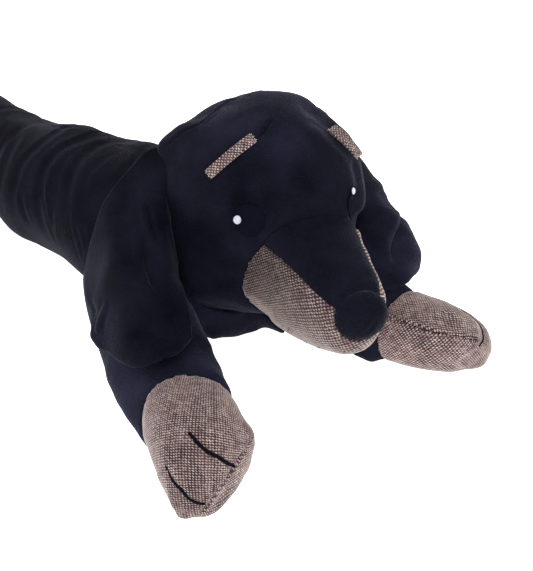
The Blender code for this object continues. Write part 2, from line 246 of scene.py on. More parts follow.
def roughen(co, normal, size, height, seed, weight=1.0):
    # uneven stuffing: sums of a few soft random waves, size in metres
    dice = np.random.default_rng(seed)
    total = np.zeros(len(co))
    for k in range(14):
        direction = dice.normal(size=3)
        direction /= np.linalg.norm(direction)
        length = size * dice.uniform(0.7, 1.8)
        total += np.sin(co @ direction * 2 * math.pi / length + dice.uniform(0, 6.3))
    co += normal * (total / 14 ** 0.5 * height * weight)[:, None]


def setWeave(piece, unroll):
    # UV map in metres; unroll gives u and v for each face corner from its point and its face's middle
    mesh = piece.data
    loops = fetch(mesh.loops, "vertex_index", 1, np.int32)[:, 0]
    totals = fetch(mesh.polygons, "loop_total", 1, np.int32)[:, 0]
    middles = np.repeat(fetch(mesh.polygons, "center"), totals, axis=0)
    layer = mesh.uv_layers.get("weave") or mesh.uv_layers.new(name="weave")
    layer.data.foreach_set("uv", unroll(places(piece)[loops], middles).astype(np.float32).ravel())


def addNode(tree, kind, settings=None, links=None):
    # a node with its settings and the nodes or sockets that its inputs are linked to
    node = tree.nodes.new("ShaderNode" + kind)
    for key, value in (settings or {}).items():
        if key == "stops":
            elements = node.color_ramp.elements
            while len(elements) < len(value):
                elements.new(0.5)
            for element, (position, colour) in zip(elements, value):
                element.position, element.color = position, colour
        elif isinstance(key, str) and hasattr(node, key):
            setattr(node, key, value)
        else:
            node.inputs[key].default_value = value
    for key, source in (links or {}).items():
        tree.links.new(source.outputs[0] if hasattr(source, "outputs") else source, node.inputs[key])
    return node


def newMaterial(name, sockets):
    # a material of one shader; the values are set on the shader's own sockets
    material = bpy.data.materials.new(name)
    material.use_nodes = True
    tree = material.node_tree
    tree.nodes.clear()
    shader = addNode(tree, "BsdfPrincipled", sockets)
    addNode(tree, "OutputMaterial", links={"Surface": shader})
    return material, tree, shader


# camera, light and floor

# the camera in degrees and mm; the focal length, long side and middle of the picture in pixels
view = {"azimuth": 35.0, "elevation": 37.0, "place": (335.0, -473.0, 448.0),
        "focus": 900.0, "long": 571, "middle": (266.5, 285.5)}

cameraData = bpy.data.cameras.new("camera")
cameraData.lens = view["focus"] / view["long"] * cameraData.sensor_width
cameraData.clip_end = 50
camera = bpy.data.objects.new("camera", cameraData)
camera.location = onFloor([view["place"]])[0]
camera.rotation_euler = (math.radians(90 - view["elevation"]), 0, math.radians(view["azimuth"]))
bpy.context.scene.collection.objects.link(camera)
bpy.context.scene.camera = camera


def toPicture(co):
    # where places are seen in the picture, in its pixels, and the pixels per metre there
    x, y = view["middle"]
    away = co - np.array(camera.location)
    scale = view["focus"] / -(away @ toViewer)
    return np.stack([x + away @ rightward * scale, y - away @ upward * scale], axis=1), scale


def fromPicture(tree, pixels):
    # places on a surface under points of the picture; beside it they keep the next hit's distance
    eye = camera.location
    across, down = view["middle"]
    ahead = toViewer * view["focus"]
    rays = [Vector(rightward * (x - across) + upward * (down - y) - ahead).normalized()
            for x, y in pixels]
    far = [tree.ray_cast(eye, ray)[3] for ray in rays]
    hits = [k for k, distance in enumerate(far) if distance is not None]
    return [eye + ray * far[min(hits, key=lambda j: abs(j - k))] for k, ray in enumerate(rays)]


def outline(co, moves, level=False):
    # bring what is seen near a line right and down, all in pixels; level moves it along the floor
    downward = levelDown if level else -upward
    for pixels, right, down, radius in moves:
        at, scale = toPicture(co)
        line = evenly([(x, y, 0) for x, y in pixels], 1.5)[:, :2]
        for part, _, gap in nearLine(at, line, 3, radius):
            weight = np.exp(-gap ** 2) / scale[part]
            co[part] += weight[:, None] * (rightward * right + downward * down)


studio = {"world": 0.88, "floor": "F6F6F6", "glow": 1.25}
scene = bpy.context.scene
scene.view_settings.view_transform = "Standard"
scene.world = bpy.data.worlds.new("studio")
scene.world.use_nodes = True
background = scene.world.node_tree.nodes["Background"]
background.inputs["Color"].default_value = (0.96, 0.98, 1.0, 1)
background.inputs["Strength"].default_value = studio["world"]


def softbox(name, place, target, size, power):
    data = bpy.data.lights.new(name, "AREA")
    data.shape = "RECTANGLE"
    data.size, data.size_y = size
    data.energy = power
    light = bpy.data.objects.new(name, data)
    light.location = place
    light.rotation_euler = (Vector(target) - Vector(place)).to_track_quat("-Z", "Y").to_euler()
    bpy.context.scene.collection.objects.link(light)


softbox("soft_top", (0.3, 0.1, 2.2), (0.3, 0.0, 0.0), (2.4, 2.4), 4)
softbox("soft_left", (-1.4, -0.6, 0.5), (0.2, 0.0, 0.1), (1.6, 1.0), 9)
softbox("soft_back", (-0.9, 1.3, 0.9), (0.3, 0.0, 0.1), (2.0, 1.2), 7)
softbox("soft_right", (1.7, 0.6, 0.8), (0.3, 0.0, 0.1), (1.2, 1.0), 3)

floorMaterial = newMaterial("pale_floor", {
    "Base Color": linear(studio["floor"]), "Roughness": 0.9, "Specular IOR Level": 0.1,
    "Emission Color": (1, 1, 1, 1), "Emission Strength": studio["glow"]})[0]
bm = bmesh.new()
bmesh.ops.create_grid(bm, x_segments=1, y_segments=1, size=8.0)
floor = fromBmesh("floor", bm, smooth=False)
floor.data.materials.append(floorMaterial)
print("studio ready")


# materials

def withPaintedShading(tree, colour):
    # painted light and shade: the colour is darkened where the attribute is above 0 and lightened where
    # it is below 0; the attribute is 0 where it isn't set
    dull = addNode(tree, "Attribute", {"attribute_name": "dull"})
    keep = addNode(tree, "Math", {"operation": "SUBTRACT", 0: 1.0}, {1: dull.outputs["Fac"]})
    return addNode(tree, "VectorMath", {"operation": "SCALE"}, {0: colour, "Scale": keep}).outputs[0]


def makeVelour():
    # polyester velour, black: a short cut pile, matt from the front, greyish where it is seen edge-on
    material, tree, shader = newMaterial("black_polyester_velour", {
        "Roughness": 0.85, "Specular IOR Level": 0.03,
        "Sheen Weight": 0.2, "Sheen Roughness": 0.17, "Sheen Tint": linear("CCCCDE")})
    point = addNode(tree, "TexCoord").outputs["Object"]
    brushed = addNode(tree, "TexNoise", {"Scale": 34.0, "Detail": 4.0}, {"Vector": point})
    pile = addNode(tree, "TexNoise", {"Scale": 1000.0, "Detail": 3.0}, {"Vector": point})
    mixed = addNode(tree, "Math", {"operation": "MULTIPLY_ADD", 1: 0.6}, {0: pile, 2: brushed})
    colour = addNode(tree, "ValToRGB", {"stops": [(0.55, linear("0F0F19")), (1.0, linear("242434"))]},
                     {0: mixed})
    # the velour's colour takes the painted light and shade
    tree.links.new(withPaintedShading(tree, colour), shader.inputs["Base Color"])
    # pile tufts are 1 mm across here, drawn coarser than real so that they show
    low = addNode(tree, "Bump", {"Strength": 0.9, "Distance": 0.0008}, {"Height": pile})
    high = addNode(tree, "Bump", {"Strength": 0.4, "Distance": 0.002},
                   {"Height": brushed, "Normal": low})
    tree.links.new(high.outputs[0], shader.inputs["Normal"])
    return material


def makeTweed(name, sheen):
    # wool tweed: cream threads cross dark brown ones, 1.8 mm apart one way and 2.0 mm the other
    material, tree, shader = newMaterial(name, {
        "Roughness": 0.92, "Specular IOR Level": 0.1,
        "Sheen Weight": sheen, "Sheen Roughness": 0.35, "Sheen Tint": linear("F6ECE4")})
    uv = addNode(tree, "UVMap", {"uv_map": "weave"}).outputs[0]
    wobble = addNode(tree, "TexNoise", {"Scale": 150.0, "Detail": 2.0}, {"Vector": uv})
    shift = addNode(tree, "VectorMath", {"operation": "MULTIPLY_ADD", 1: (0.0014,) * 3},
                    {0: wobble.outputs["Color"], 2: uv})
    scaled = addNode(tree, "VectorMath", {"operation": "DIVIDE", 1: (0.0020, 0.0018, 1.0)}, {0: shift})
    cell = addNode(tree, "VectorMath", {"operation": "FLOOR"}, {0: scaled})
    rows = addNode(tree, "SeparateXYZ", links={0: cell})
    # weft, warp and the slant of the weave: direction in the cloth and strength of each wave
    height = None
    waves = [((1, 0, 0), 0.75), ((0, 1, 0), 1.0), ((1, 1, 0), 0.55), ((0.5, 0.5, 0), 0.3)]
    for direction, strength in waves:
        turns = [c * 2 * math.pi for c in direction]
        place = addNode(tree, "VectorMath", {"operation": "DOT_PRODUCT", 1: turns}, {0: scaled})
        wave = addNode(tree, "Math", {"operation": "COSINE"}, {0: place.outputs["Value"]})
        height = addNode(tree, "Math", {"operation": "MULTIPLY_ADD", 1: strength, 2: 0.0},
                         {0: wave, 2: height} if height else {0: wave})
    height = addNode(tree, "MapRange", {"From Min": -1.5, "From Max": 2.4}, {"Value": height})
    # each thread has its own thickness
    slubs = [addNode(tree, "TexWhiteNoise", {"noise_dimensions": "1D"}, {"W": rows.outputs[axis]})
             for axis in (0, 1)]
    threads = addNode(tree, "Math", {"operation": "ADD"}, {0: slubs[0], 1: slubs[1]})
    dice = addNode(tree, "TexWhiteNoise", {"noise_dimensions": "2D"}, {"Vector": cell})
    heather = addNode(tree, "TexNoise", {"Scale": 75.0, "Detail": 3.0}, {"Vector": uv})
    fibre = addNode(tree, "TexNoise", {"Scale": 2600.0, "Detail": 2.0}, {"Vector": uv})
    uneven = addNode(tree, "Math", {"operation": "MULTIPLY_ADD", 1: 0.12}, {0: threads, 2: height})
    uneven = addNode(tree, "Math", {"operation": "MULTIPLY_ADD", 1: 0.22}, {0: heather, 2: uneven})
    # each dot has its own shade of cream, and some are nearly missing
    creams = [(0.0, "826D6A"), (0.2, "A38E88"), (0.6, "BDA9A1"), (0.95, "D6C7BB")]
    browns = [(0.35, "39242D"), (0.5, "463037"), (0.68, "5F4445")]
    threadEdge = [(0.44, "000000"), (0.99, "FFFFFF")]
    dot, ground, mask = (
        addNode(tree, "ValToRGB", {"stops": [(at, linear(code)) for at, code in stops]}, {0: source})
        for source, stops in ((dice, creams), (heather, browns), (uneven, threadEdge)))
    colour = addNode(tree, "Mix", {"data_type": "RGBA"}, {0: mask, 6: ground, 7: dot})
    fuzz = addNode(tree, "Mix", {"data_type": "RGBA", "blend_type": "OVERLAY", 0: 0.3},
                   {6: colour.outputs[2], 7: fibre.outputs["Color"]})
    # the tweed's colour takes the painted light and shade
    tree.links.new(withPaintedShading(tree, fuzz.outputs[2]), shader.inputs["Base Color"])
    weaveBump = addNode(tree, "Bump", {"Strength": 0.6, "Distance": 0.0004}, {"Height": height})
    fibreBump = addNode(tree, "Bump", {"Strength": 0.5, "Distance": 0.00025},
                        {"Height": fibre, "Normal": weaveBump})
    tree.links.new(fibreBump.outputs[0], shader.inputs["Normal"])
    return material


def makeSatin(name, code, roughness, fine, shine=0.3):
    # polyester satin stitch or cloth: smooth filaments side by side give it a soft shine
    material, tree, shader = newMaterial(name, {"Roughness": roughness, "Specular IOR Level": shine})
    point = addNode(tree, "TexCoord").outputs["Object"]
    noise = addNode(tree, "TexNoise", {"Scale": fine, "Detail": 3.0}, {"Vector": point})
    base = linear(code)
    darker = (*[c * 0.7 for c in base[:3]], 1)
    colour = addNode(tree, "ValToRGB", {"stops": [(0.35, darker), (0.65, base)]}, {0: noise})
    tree.links.new(colour.outputs[0], shader.inputs["Base Color"])
    bump = addNode(tree, "Bump", {"Strength": 0.4, "Distance": 0.0002}, {"Height": noise})
    tree.links.new(bump.outputs[0], shader.inputs["Normal"])
    return material


velour = makeVelour()
tweed = makeTweed("cream_and_brown_wool_tweed", 0.85)
smoothTweed = makeTweed("cream_and_brown_wool_tweed_shorn", 0.1)
eyeSatin = makeSatin("black_polyester_satin", "12121F", 0.9, 900.0, 0.02)
blackThread = makeSatin("black_polyester_thread", "14121C", 0.85, 1500.0, 0.05)
brownThread = makeSatin("dark_brown_wool_thread", "2E2024", 0.9, 1500.0, 0.05)
creamThread = makeSatin("cream_wool_thread", "D9CCC2", 0.9, 1500.0, 0.1)
whiteThread = makeSatin("white_rayon_thread", "E2E6EF", 0.45, 1200.0)
print("materials ready")


# stuffed pieces

def openWeights(piece, neighbours, low, high):
    # 0 on a seam with a neighbour, 1 in the open
    co = places(piece)
    nearest = np.full(len(co), 1.0)
    for node in neighbours:
        tree = surfaceTree(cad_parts[node])
        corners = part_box(node)
        lowest, highest = np.array(corners[0]) - high, np.array(corners[1]) + high
        for k in np.where(((co > lowest) & (co < highest)).all(1))[0]:
            found = tree.find_nearest(co[k], high)
            if found[3] is not None:
                nearest[k] = min(nearest[k], found[3])
    return smoothStep(nearest, low, high)


def stuffed(name, node, voxel, neighbours, rounds=45, held=0.12, grow=0.0006, high=0.007):
    # a filled cover: smoothed and swollen in the open, held at its seams (metres)
    low, seam = 0.001, 0.00018
    piece = cadCopy(name, node)
    bake(piece, "REMESH", mode="VOXEL", voxel_size=voxel)
    weight = openWeights(piece, neighbours, low, high)
    group = piece.vertex_groups.new(name="open")
    for level in np.unique(np.round(weight, 2)):
        members = np.where(np.round(weight, 2) == level)[0]
        group.add(members.tolist(), float(max(held, level)), "REPLACE")
    bake(piece, "SMOOTH", factor=0.5, iterations=rounds, vertex_group="open")
    co, normal = places(piece), normals(piece)
    co += normal * (seam + (grow - seam) * weight)[:, None]
    setPlaces(piece, co)
    return piece, weight


# painted light and shade for each point of a piece: above 0 darker, below 0 lighter
def setPaintedShading(piece, amount):
    layer = piece.data.attributes.new("dull", "FLOAT", "POINT")
    layer.data.foreach_set("value", np.clip(amount, -0.6, 0.9).astype(np.float32))


def restOnFloor(co):
    co[:, 2] = np.maximum(co[:, 2], 0.0004)


def standFor(piece, node, material):
    # the piece takes the place of a node of the frame
    piece.data.materials.clear()
    piece.data.materials.append(material)
    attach(piece, "root")
    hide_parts(node)
    print(piece.name, len(piece.data.polygons), "faces")


def addExtra(name, bm, material):
    # a piece that stands for no node
    piece = fromBmesh(name, bm)
    piece.data.materials.append(material)
    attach(piece, "root")


# body: a tube with soft rings across it, its centreline in mm
body = {
    "stuffing": {"voxel": 0.0025, "neighbours": ["head", "leg_right", "leg_left"], "rounds": 40,
                 "grow": 0.0002},
    "rough": (0.05, 0.0008, 3), "dull": 0.6,
    "rows": [(-764, 10), (-642, 10), (-532, 7), (-420, 1), (-350, -6), (-288, -12),
             (-238, -20), (-214, -27), (-144, -32), (-92, -38), (-38, -41), (31, -36)],
    "middleHeight": [(-764, 46), (-300, 46), (-238, 47), (-168, 54), (-64, 60), (31, 30)],
    # where the outline moves: line, right, up, radius
    "pulls": [([(-175, -82, 36), (-138, -90, 41)], 0.3, 2.2, 28),
              ([(-255, -1, 93), (-235, -2, 93)], 0, -2.0, 20),
              ([(-132, -16, 111), (-120, -16, 112)], 0, -1.2, 16),
              ([(-98, -14, 114), (-80, -20, 117)], 0, 3.2, 15),
              ([(24, -50, 9), (27, -41, 9)], 0, 4.0, 9)],
    # the same in the picture: pixels, right, down, radius
    "outline": [([(20, 107), (40, 116)], 0, 1.5, 12), ([(60, 121), (90, 126)], 0, -1.5, 9),
                ([(105, 133), (120, 138)], 0, 1.2, 8), ([(140, 142), (155, 146)], 0, -2, 8),
                ([(40, 246), (60, 256)], 0, -2, 12), ([(12, 232), (20, 238)], 0, 1, 8)],
    "chest": [([(205, 338), (214, 337)], -1.5, 4.0, 7), ([(226, 333), (236, 331)], 0, 1.0, 7),
              ([(274, 319), (282, 308)], 15, 16, 8)],
    # wrinkles across the near side behind the ear: depth, width and line
    "wrinkles": [
        (0.65, 4.0, [(-178, 20, 101), (-184, -10, 107), (-185, -29, 106), (-186, -49, 102),
                     (-191, -64, 91), (-190, -78, 78), (-189, -84, 62), (-186, -82, 40)]),
        (0.7, 5.0, [(-239, -9, 95), (-220, -45, 95), (-213, -66, 83), (-209, -74, 60),
                    (-206, -72, 30)]),
        (0.85, 4.6, [(-140, 10, 109), (-147, -10, 112), (-152, -30, 111), (-159, -48, 106),
                     (-162, -64, 99), (-158, -79, 85), (-155, -87, 69), (-149, -88, 53),
                     (-146, -84, 30)]),
        (0.9, 1.8, [(-157, -74, 90), (-155, -77, 86), (-148, -83, 76), (-143, -87, 65),
                    (-142, -89, 56)]),
        (0.8, 4.2, [(-122, 0, 112), (-132, -26, 113), (-133, -45, 111), (-132, -61, 107),
                    (-127, -75, 98), (-121, -86, 85), (-115, -93, 71)]),
        (0.45, 3.4, [(-108, -35, 116), (-113, -52, 113), (-114, -65, 109), (-110, -79, 99),
                     (-105, -87, 90)]),
        (0.75, 1.7, [(-118, -87, 86), (-114, -90, 77), (-109, -94, 65), (-103, -95, 47)]),
        (0.825, 1.6, [(-112, -87, 86), (-108, -90, 77), (-101, -96, 68), (-99, -95, 55),
                      (-97, -92, 40)]),
        (0.6, 1.7, [(-121, -89, 80), (-117, -92, 74), (-114, -95, 62), (-109, -95, 49)]),
        (0.6, 1.5, [(-100, -92, 83), (-96, -95, 76), (-92, -97, 68)]),
        (0.6, 2.4, [(-128, -23, 112), (-107, -29, 116), (-86, -37, 120)]),
        (0.6, 2.6, [(-208, -15, 100), (-190, -20, 104), (-168, -14, 108)]),
        (0.75, 2.8, [(-170, -84, 48), (-177, -82, 66), (-183, -76, 79)]),
        (0.6, 3.0, [(-138, -90, 46), (-138, -87, 64), (-137, -83, 84)]),
        (0.65, 4.0, [(-92, -18, 115), (-84, -42, 120), (-83, -58, 116)]),
    ],
    # rings across the tube: where they start and end, how far apart, and the range of each one's
    # slant, bow, depth, width (mm), middle angle and spread (degrees); 0 the far side, 90 the top
    "rings": [
        (-232.0, -745, (11, 27), [(-9, 12), (-3, 4), (0.5, 1.2), (4, 8), (40, 210), (40, 95)]),
        (-60.0, -750, (12, 26), [(-12, 12), (-4, 4), (0.4, 1.1), (2, 4.5), (0, 200), (18, 45)]),
    ],
    "ringShare": 0.45,
    # ahead of this place the listed wrinkles are, and fine rings keep to the far side
    "handPlaced": -225, "farSide": 60,
}


def shapeBody():
    piece, weight = stuffed("body_tube", "body", **body["stuffing"])
    co, normal = places(piece), normals(piece)
    pullAll(co, body["pulls"], onFloor)
    local = co / mm - np.array(footprintMiddle)
    rows = np.array(body["rows"], float)
    heights = np.array(body["middleHeight"], float)
    x = local[:, 0]
    y = local[:, 1] - np.interp(x, rows[:, 0], rows[:, 1])
    z = local[:, 2] - np.interp(x, heights[:, 0], heights[:, 1])
    angle = np.degrees(np.arctan2(z, y)) % 360
    rings = []
    dice = random.Random(7)
    for place, end, apart, ranges in body["rings"]:
        while place > end:
            ring = [dice.uniform(*limits) for limits in ranges]
            if place > body["handPlaced"]:
                ring[4] *= body["farSide"] / ranges[4][1]
            rings.append((place, *ring))
            place -= dice.uniform(*apart)
    shift = np.zeros(len(co))
    for along, slant, bow, depth, width, middle, spread in rings:
        turn = np.radians(angle - 180)
        off = (x - along - slant * turn - bow * (turn + 0.8) ** 2) / width
        window = np.exp(-((((angle - middle + 180) % 360) - 180) / spread) ** 2)
        shoulders = 0.5 * np.exp(-((np.abs(off) - 1.7) / 0.9) ** 2)
        shift += body["ringShare"] * depth * window * (shoulders - np.exp(-off ** 2))
    lift = smoothStep(local[:, 2], 2, 14)
    co += normal * (shift * mm * weight * lift)[:, None]
    for depth, width, line in body["wrinkles"]:
        fold(co, normal, onFloor(line), depth * mm, width * mm, shoulders=0.45, fade=0.3)
    roughen(co, normal, *body["rough"], weight * lift)
    outline(co, body["outline"])
    outline(co, body["chest"], level=True)
    restOnFloor(co)
    setPlaces(piece, co)
    # painted shade: the tube darker away from the head
    setPaintedShading(piece, body["dull"] * smoothStep(-local[:, 0], 0, 50))
    standFor(piece, "body", velour)


shapeBody()


# head: lines in mm from the skull's middle, ahead, to its left, up
head = {
    "stuffing": {"voxel": 0.0017, "neighbours": ["body", "bridge", "muzzle", "leg_left", "leg_right"],
                 "rounds": 60, "grow": 0.0009},
    "rough": (0.045, 0.0006, 5), "dull": 0.4,
    # the crown seam, first in the picture's pixels, then out of sight
    "crownSeen": [(162, 153), (170, 142), (180, 134), (190, 128), (203, 121), (213, 113), (224, 105),
                  (233, 100)],
    "crownSeam": [(-20, -18, 72), (-26, -4, 72), (-27, 10, 71), (-22, 34, 68), (-14, 50, 60),
                  (-18, 64, 44)],
    # where the outline moves in the picture: pixels, right, down, radius
    "outline": [([(157, 149), (163, 142)], -5, 2, 8), ([(172, 128), (183, 122)], 1.3, 1.3, 9),
                ([(195, 113), (212, 104), (228, 98)], 1.2, 2.4, 11),
                ([(320, 106), (330, 114), (338, 124)], -3, 2.2, 11),
                ([(262, 91), (292, 93)], 0, -1, 14), ([(237, 95), (247, 92)], 0, 1.8, 7),
                ([(363, 219), (361, 230), (359, 240)], -6, -2, 8)],
    # the far side of the crown, the far dart, the valleys on the far side and between the brows, and
    # the deep end of the crown seam: depth, width and line
    "folds": [
        (0.4, 3, [(-10, 30, 71), (-4, 28, 72), (7, 25, 73), (15, 25, 71)]),
        (1.0, 5.0, [(21, 14, 72), (26, 18, 71), (27, 23, 69), (32, 28, 65), (36, 28, 64),
                    (42, 33, 58), (44, 39, 52), (46, 42, 47)]),
        (2.0, 6, [(46, 41, 48), (50, 44, 41), (56, 44, 32), (61, 43, 22), (68, 36, 16)]),
        (2.0, 9, [(34, -30, 66), (43, -27, 62), (50, -27, 55), (55, -27, 46), (61, -27, 38),
                  (67, -29, 27)]),
        (0.6, 1.5, [(-8, -50, 60), (-8, -44, 64), (-12, -37, 67), (-17, -28, 70)]),
    ],
    # depth and width of the crown seam; depth, width and pixels of the near dart
    "seam": (1.3, 1.4), "dart": (2.8, 1.4, [(273, 118), (266, 128), (258, 138)]),
    # fuller places: middle, radius, height and direction
    "bulges": [((62, 4, 42), 24, 2.0, (0.85, 0.0, 0.5)), ((-48, -20, 56), 30, 2.0, (-0.5, -0.3, 0.8))],
    # small puckers that run off the crown seam: how many, range of reach and depth, width
    "puckers": (11, (6, 12), (0.3, 0.8), 1.7),
    # where the far brow lies: its inner edge in pixels, its distance from the camera and fall in mm
    "farBrow": {"innerEdge": [(329, 132), (352, 158)], "distance": 641.0, "slope": 1.6, "most": 18.0},
    # where the outline moves: line, right, up, radius
    "pulls": [([(-21, -67, 40), (-26, -62, 44), (-22, -61, 50)], -4.5, 3.2, 13),
              ([(-8, -4, 74), (-5, 16, 73)], 0, 2.2, 20),
              ([(-16, -43, 65), (-17, -22, 71)], 1.4, -1.7, 14),
              ([(-26, -37, 64), (-26, -26, 67)], 1.2, -2.2, 12),
              ([(8, 29, 71), (20, 30, 69)], -2.6, -2.4, 12),
              ([(6, 38, 68), (20, 40, 64)], -3.0, -2.6, 12),
              ([(68, 41, 12), (67, 45, 2), (63, 48, -9)], -5.5, 0, 9),
              ([(66, 36, 24), (66, 42, 14)], -1.5, 0, 8),
              ([(52, -49, -57), (66, -30, -58)], 0.5, 3.2, 12),
              ([(31, -70, -41), (33, -66, -51)], -2.0, -2.6, 9)],
}


def raiseUnder(co, normal, rest):
    # the stuffing stands out towards the viewer under the far brow, so that the strip lies on it
    at, scale = toPicture(co)
    start, stop = np.array(rest["innerEdge"], float)
    length = np.linalg.norm(stop - start)
    ahead = (stop - start) / length
    along = (at - start) @ ahead / length
    across = (at - start) @ np.array((ahead[1], -ahead[0])) / scale
    excess = view["focus"] / scale - (rest["distance"] * mm + rest["slope"] * across)
    weight = (smoothStep(along, -0.5, 0.0) * smoothStep(-along, -1.5, -1.0)
              * smoothStep(across, -0.003, 0.001) * smoothStep(-across, -0.02, -0.012)
              * smoothStep(normal @ toViewer, -0.6, 0.1))
    toEye = np.array(camera.location) - co
    toEye /= np.linalg.norm(toEye, axis=1)[:, None]
    co += toEye * (np.clip(excess, 0, rest["most"] * mm) * weight)[:, None]


def shapeHead():
    piece, weight = stuffed("head_velour", "head", **head["stuffing"])
    co, normal = places(piece), normals(piece)
    first, second = head["bulges"]
    swell(co, first)
    pullAll(co, head["pulls"], onHead)
    swell(co, second)
    for depth, width, line in head["folds"]:
        fold(co, normal, onHead(line), depth * mm, width * mm)
    outline(co, head["outline"])
    raiseUnder(co, normal, head["farBrow"])
    setPlaces(piece, co)
    tree = surfaceTree(piece)
    depth, width, pixels = head["dart"]
    fold(co, normal, fromPicture(tree, pixels), depth * mm, width * mm)
    depth, width = head["seam"]
    seamLine = fromPicture(tree, head["crownSeen"]) + onHead(head["crownSeam"])
    fold(co, normal, seamLine, depth * mm, width * mm, fade=0.05)
    roughen(co, normal, *head["rough"], weight)
    seam = evenly(seamLine, 0.001)
    dice = random.Random(4)
    count, reach, depth, width = head["puckers"]
    for k in range(count):
        at = int((k + dice.uniform(0.2, 0.8)) / count * (len(seam) - 1))
        start = Vector(seam[at])
        ahead = headMatrix.to_3x3() @ Vector((1, dice.uniform(-0.3, 0.3), 0.1))
        side = dice.choice((-1, 1))
        stop = start + ahead * side * dice.uniform(*reach) * mm
        fold(co, normal, [start, (start + stop) / 2, stop], dice.uniform(*depth) * mm, width * mm,
             shoulders=0.4, fade=0.5)
    setPlaces(piece, co)
    # painted shade over the middle of the head, the crown and the jaw left lighter
    up = inHead(co)[:, 2]
    setPaintedShading(piece, head["dull"] * smoothStep(-up, -68, -54) * smoothStep(up, -40, -10))
    standFor(piece, "head", velour)
    return piece


skull = shapeHead()
skullTree = surfaceTree(skull)


# snout: a crescent-shaped ridge on the nose from the skull's middle, and a crease in pixels
snout = {
    "bridge": {"voxel": 0.0010, "neighbours": ["head", "muzzle", "nose"], "rounds": 35, "held": 0.04,
               "grow": 0.0005, "high": 0.005},
    "nose": {"voxel": 0.0009, "neighbours": ["muzzle", "bridge"], "rounds": 25, "held": 0.15,
             "grow": 0.0003, "high": 0.004},
    "muzzle": {"voxel": 0.0012, "neighbours": ["head", "bridge", "nose", "leg_left"], "rounds": 45,
               "grow": 0.0004, "high": 0.005},
    "crescent": [(157, -9, -13), (159, -6, -11), (160, -3, -7), (159, -1, -3), (158, 0, 1)],
    "crease": [(352, 301), (361, 298), (370, 294), (379, 289)],
    # the muzzle's edge shows along the far side of the bridge: pixels, right, down, radius
    "outline": [([(358, 236), (363, 247)], 3.6, -0.5, 8),
                ([(369, 258), (375, 272), (382, 287), (387, 300)], 5.2, -0.8, 9),
                ([(247, 303), (255, 311), (263, 319)], 3.2, -2.6, 8),
                ([(318, 345), (345, 352)], 0, 1, 10)],
    "bridgeOutline": [([(358, 238), (366, 258), (372, 270), (377, 281)], 2.4, 0, 7)],
    # where the weave is unrolled from, to the near and the far side, in mm on the floor; its scale
    # makes up for the stretch of the unrolling
    "centre": (91, -58.5, 73.6), "toward": (0.12, -0.93, 0.3), "away": (0.75, 0.6, 0.2),
    "panelEdge": 14.0, "turn": -28.0, "scale": 0.79,
}


def spreadFrom(centre, direction, turn, scale=1.0, wrap=1.0):
    # unroll a rounded end evenly in all directions from one point; with wrap 0 it is seen flat
    direction = Vector(direction).normalized()
    sideways = Vector((1, 0, 0))
    if abs(direction.z) < 0.95:
        sideways = Vector((0, 0, 1)).cross(direction).normalized()
    up = direction.cross(sideways)
    centre = np.array(onFloor([centre])[0])
    turn = math.radians(turn)

    def unroll(co):
        d = co - centre
        away = np.linalg.norm(d, axis=1)
        d /= away[:, None]
        a, b, c = d @ np.array(sideways), d @ np.array(up), d @ np.array(direction)
        flat = np.hypot(a, b)
        reach = wrap * np.arccos(np.clip(c, -1, 1)) + (1 - wrap) * flat
        reach *= away * scale / np.maximum(flat, 1e-6)
        u, v = a * reach, b * reach
        return np.stack([u * math.cos(turn) - v * math.sin(turn),
                         u * math.sin(turn) + v * math.cos(turn)], axis=1)
    return unroll


def levelSeam(piece, node, centre, rise, reach):
    # fill the groove beside a node sewn on flush: lift the cloth's edge away from the centre
    tree = surfaceTree(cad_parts[node])
    co, normal = places(piece), normals(piece)
    for k in range(len(co)):
        found = tree.find_nearest(co[k], reach)
        if found[3] is not None:
            away = co[k] - centre
            away /= np.linalg.norm(away)
            if away @ normal[k] > 0.0:
                co[k] += away * rise * (1 - found[3] / reach)
    setPlaces(piece, co)


def smoothOver(*pieces):
    # one smooth surface over pieces that are sewn edge to edge
    bm = bmesh.new()
    for piece in pieces:
        bm.from_mesh(piece.data)
    whole = fromBmesh("whole", bm)
    bake(whole, "REMESH", mode="VOXEL", voxel_size=0.0011)
    bake(whole, "SMOOTH", factor=0.5, iterations=14)
    tree = surfaceTree(whole)
    bpy.data.objects.remove(whole)
    return tree


def layOn(piece, node, tree, sink, full=0.0012, reach=0.0045, depth=0.0025, across=0.0004):
    # near a neighbour, lay the piece's edge on the smooth surface and close the gap (metres)
    neighbour = surfaceTree(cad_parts[node])
    co, normal = places(piece), normals(piece)
    for k in range(len(co)):
        gap = neighbour.find_nearest(co[k], reach)[3]
        if gap is None:
            continue
        place, outward, _, distance = tree.find_nearest(co[k])
        over = (neighbour.find_nearest(co[k])[0] - Vector(co[k])).normalized()
        place += over * across - outward * sink
        weight = float(smoothStep(-gap, -reach, -full)) * (1 if distance < depth else 0)
        weight *= float(smoothStep(normal[k] @ np.array(outward), 0.1, 0.5))
        co[k] += (np.array(place) - co[k]) * weight
    setPlaces(piece, co)


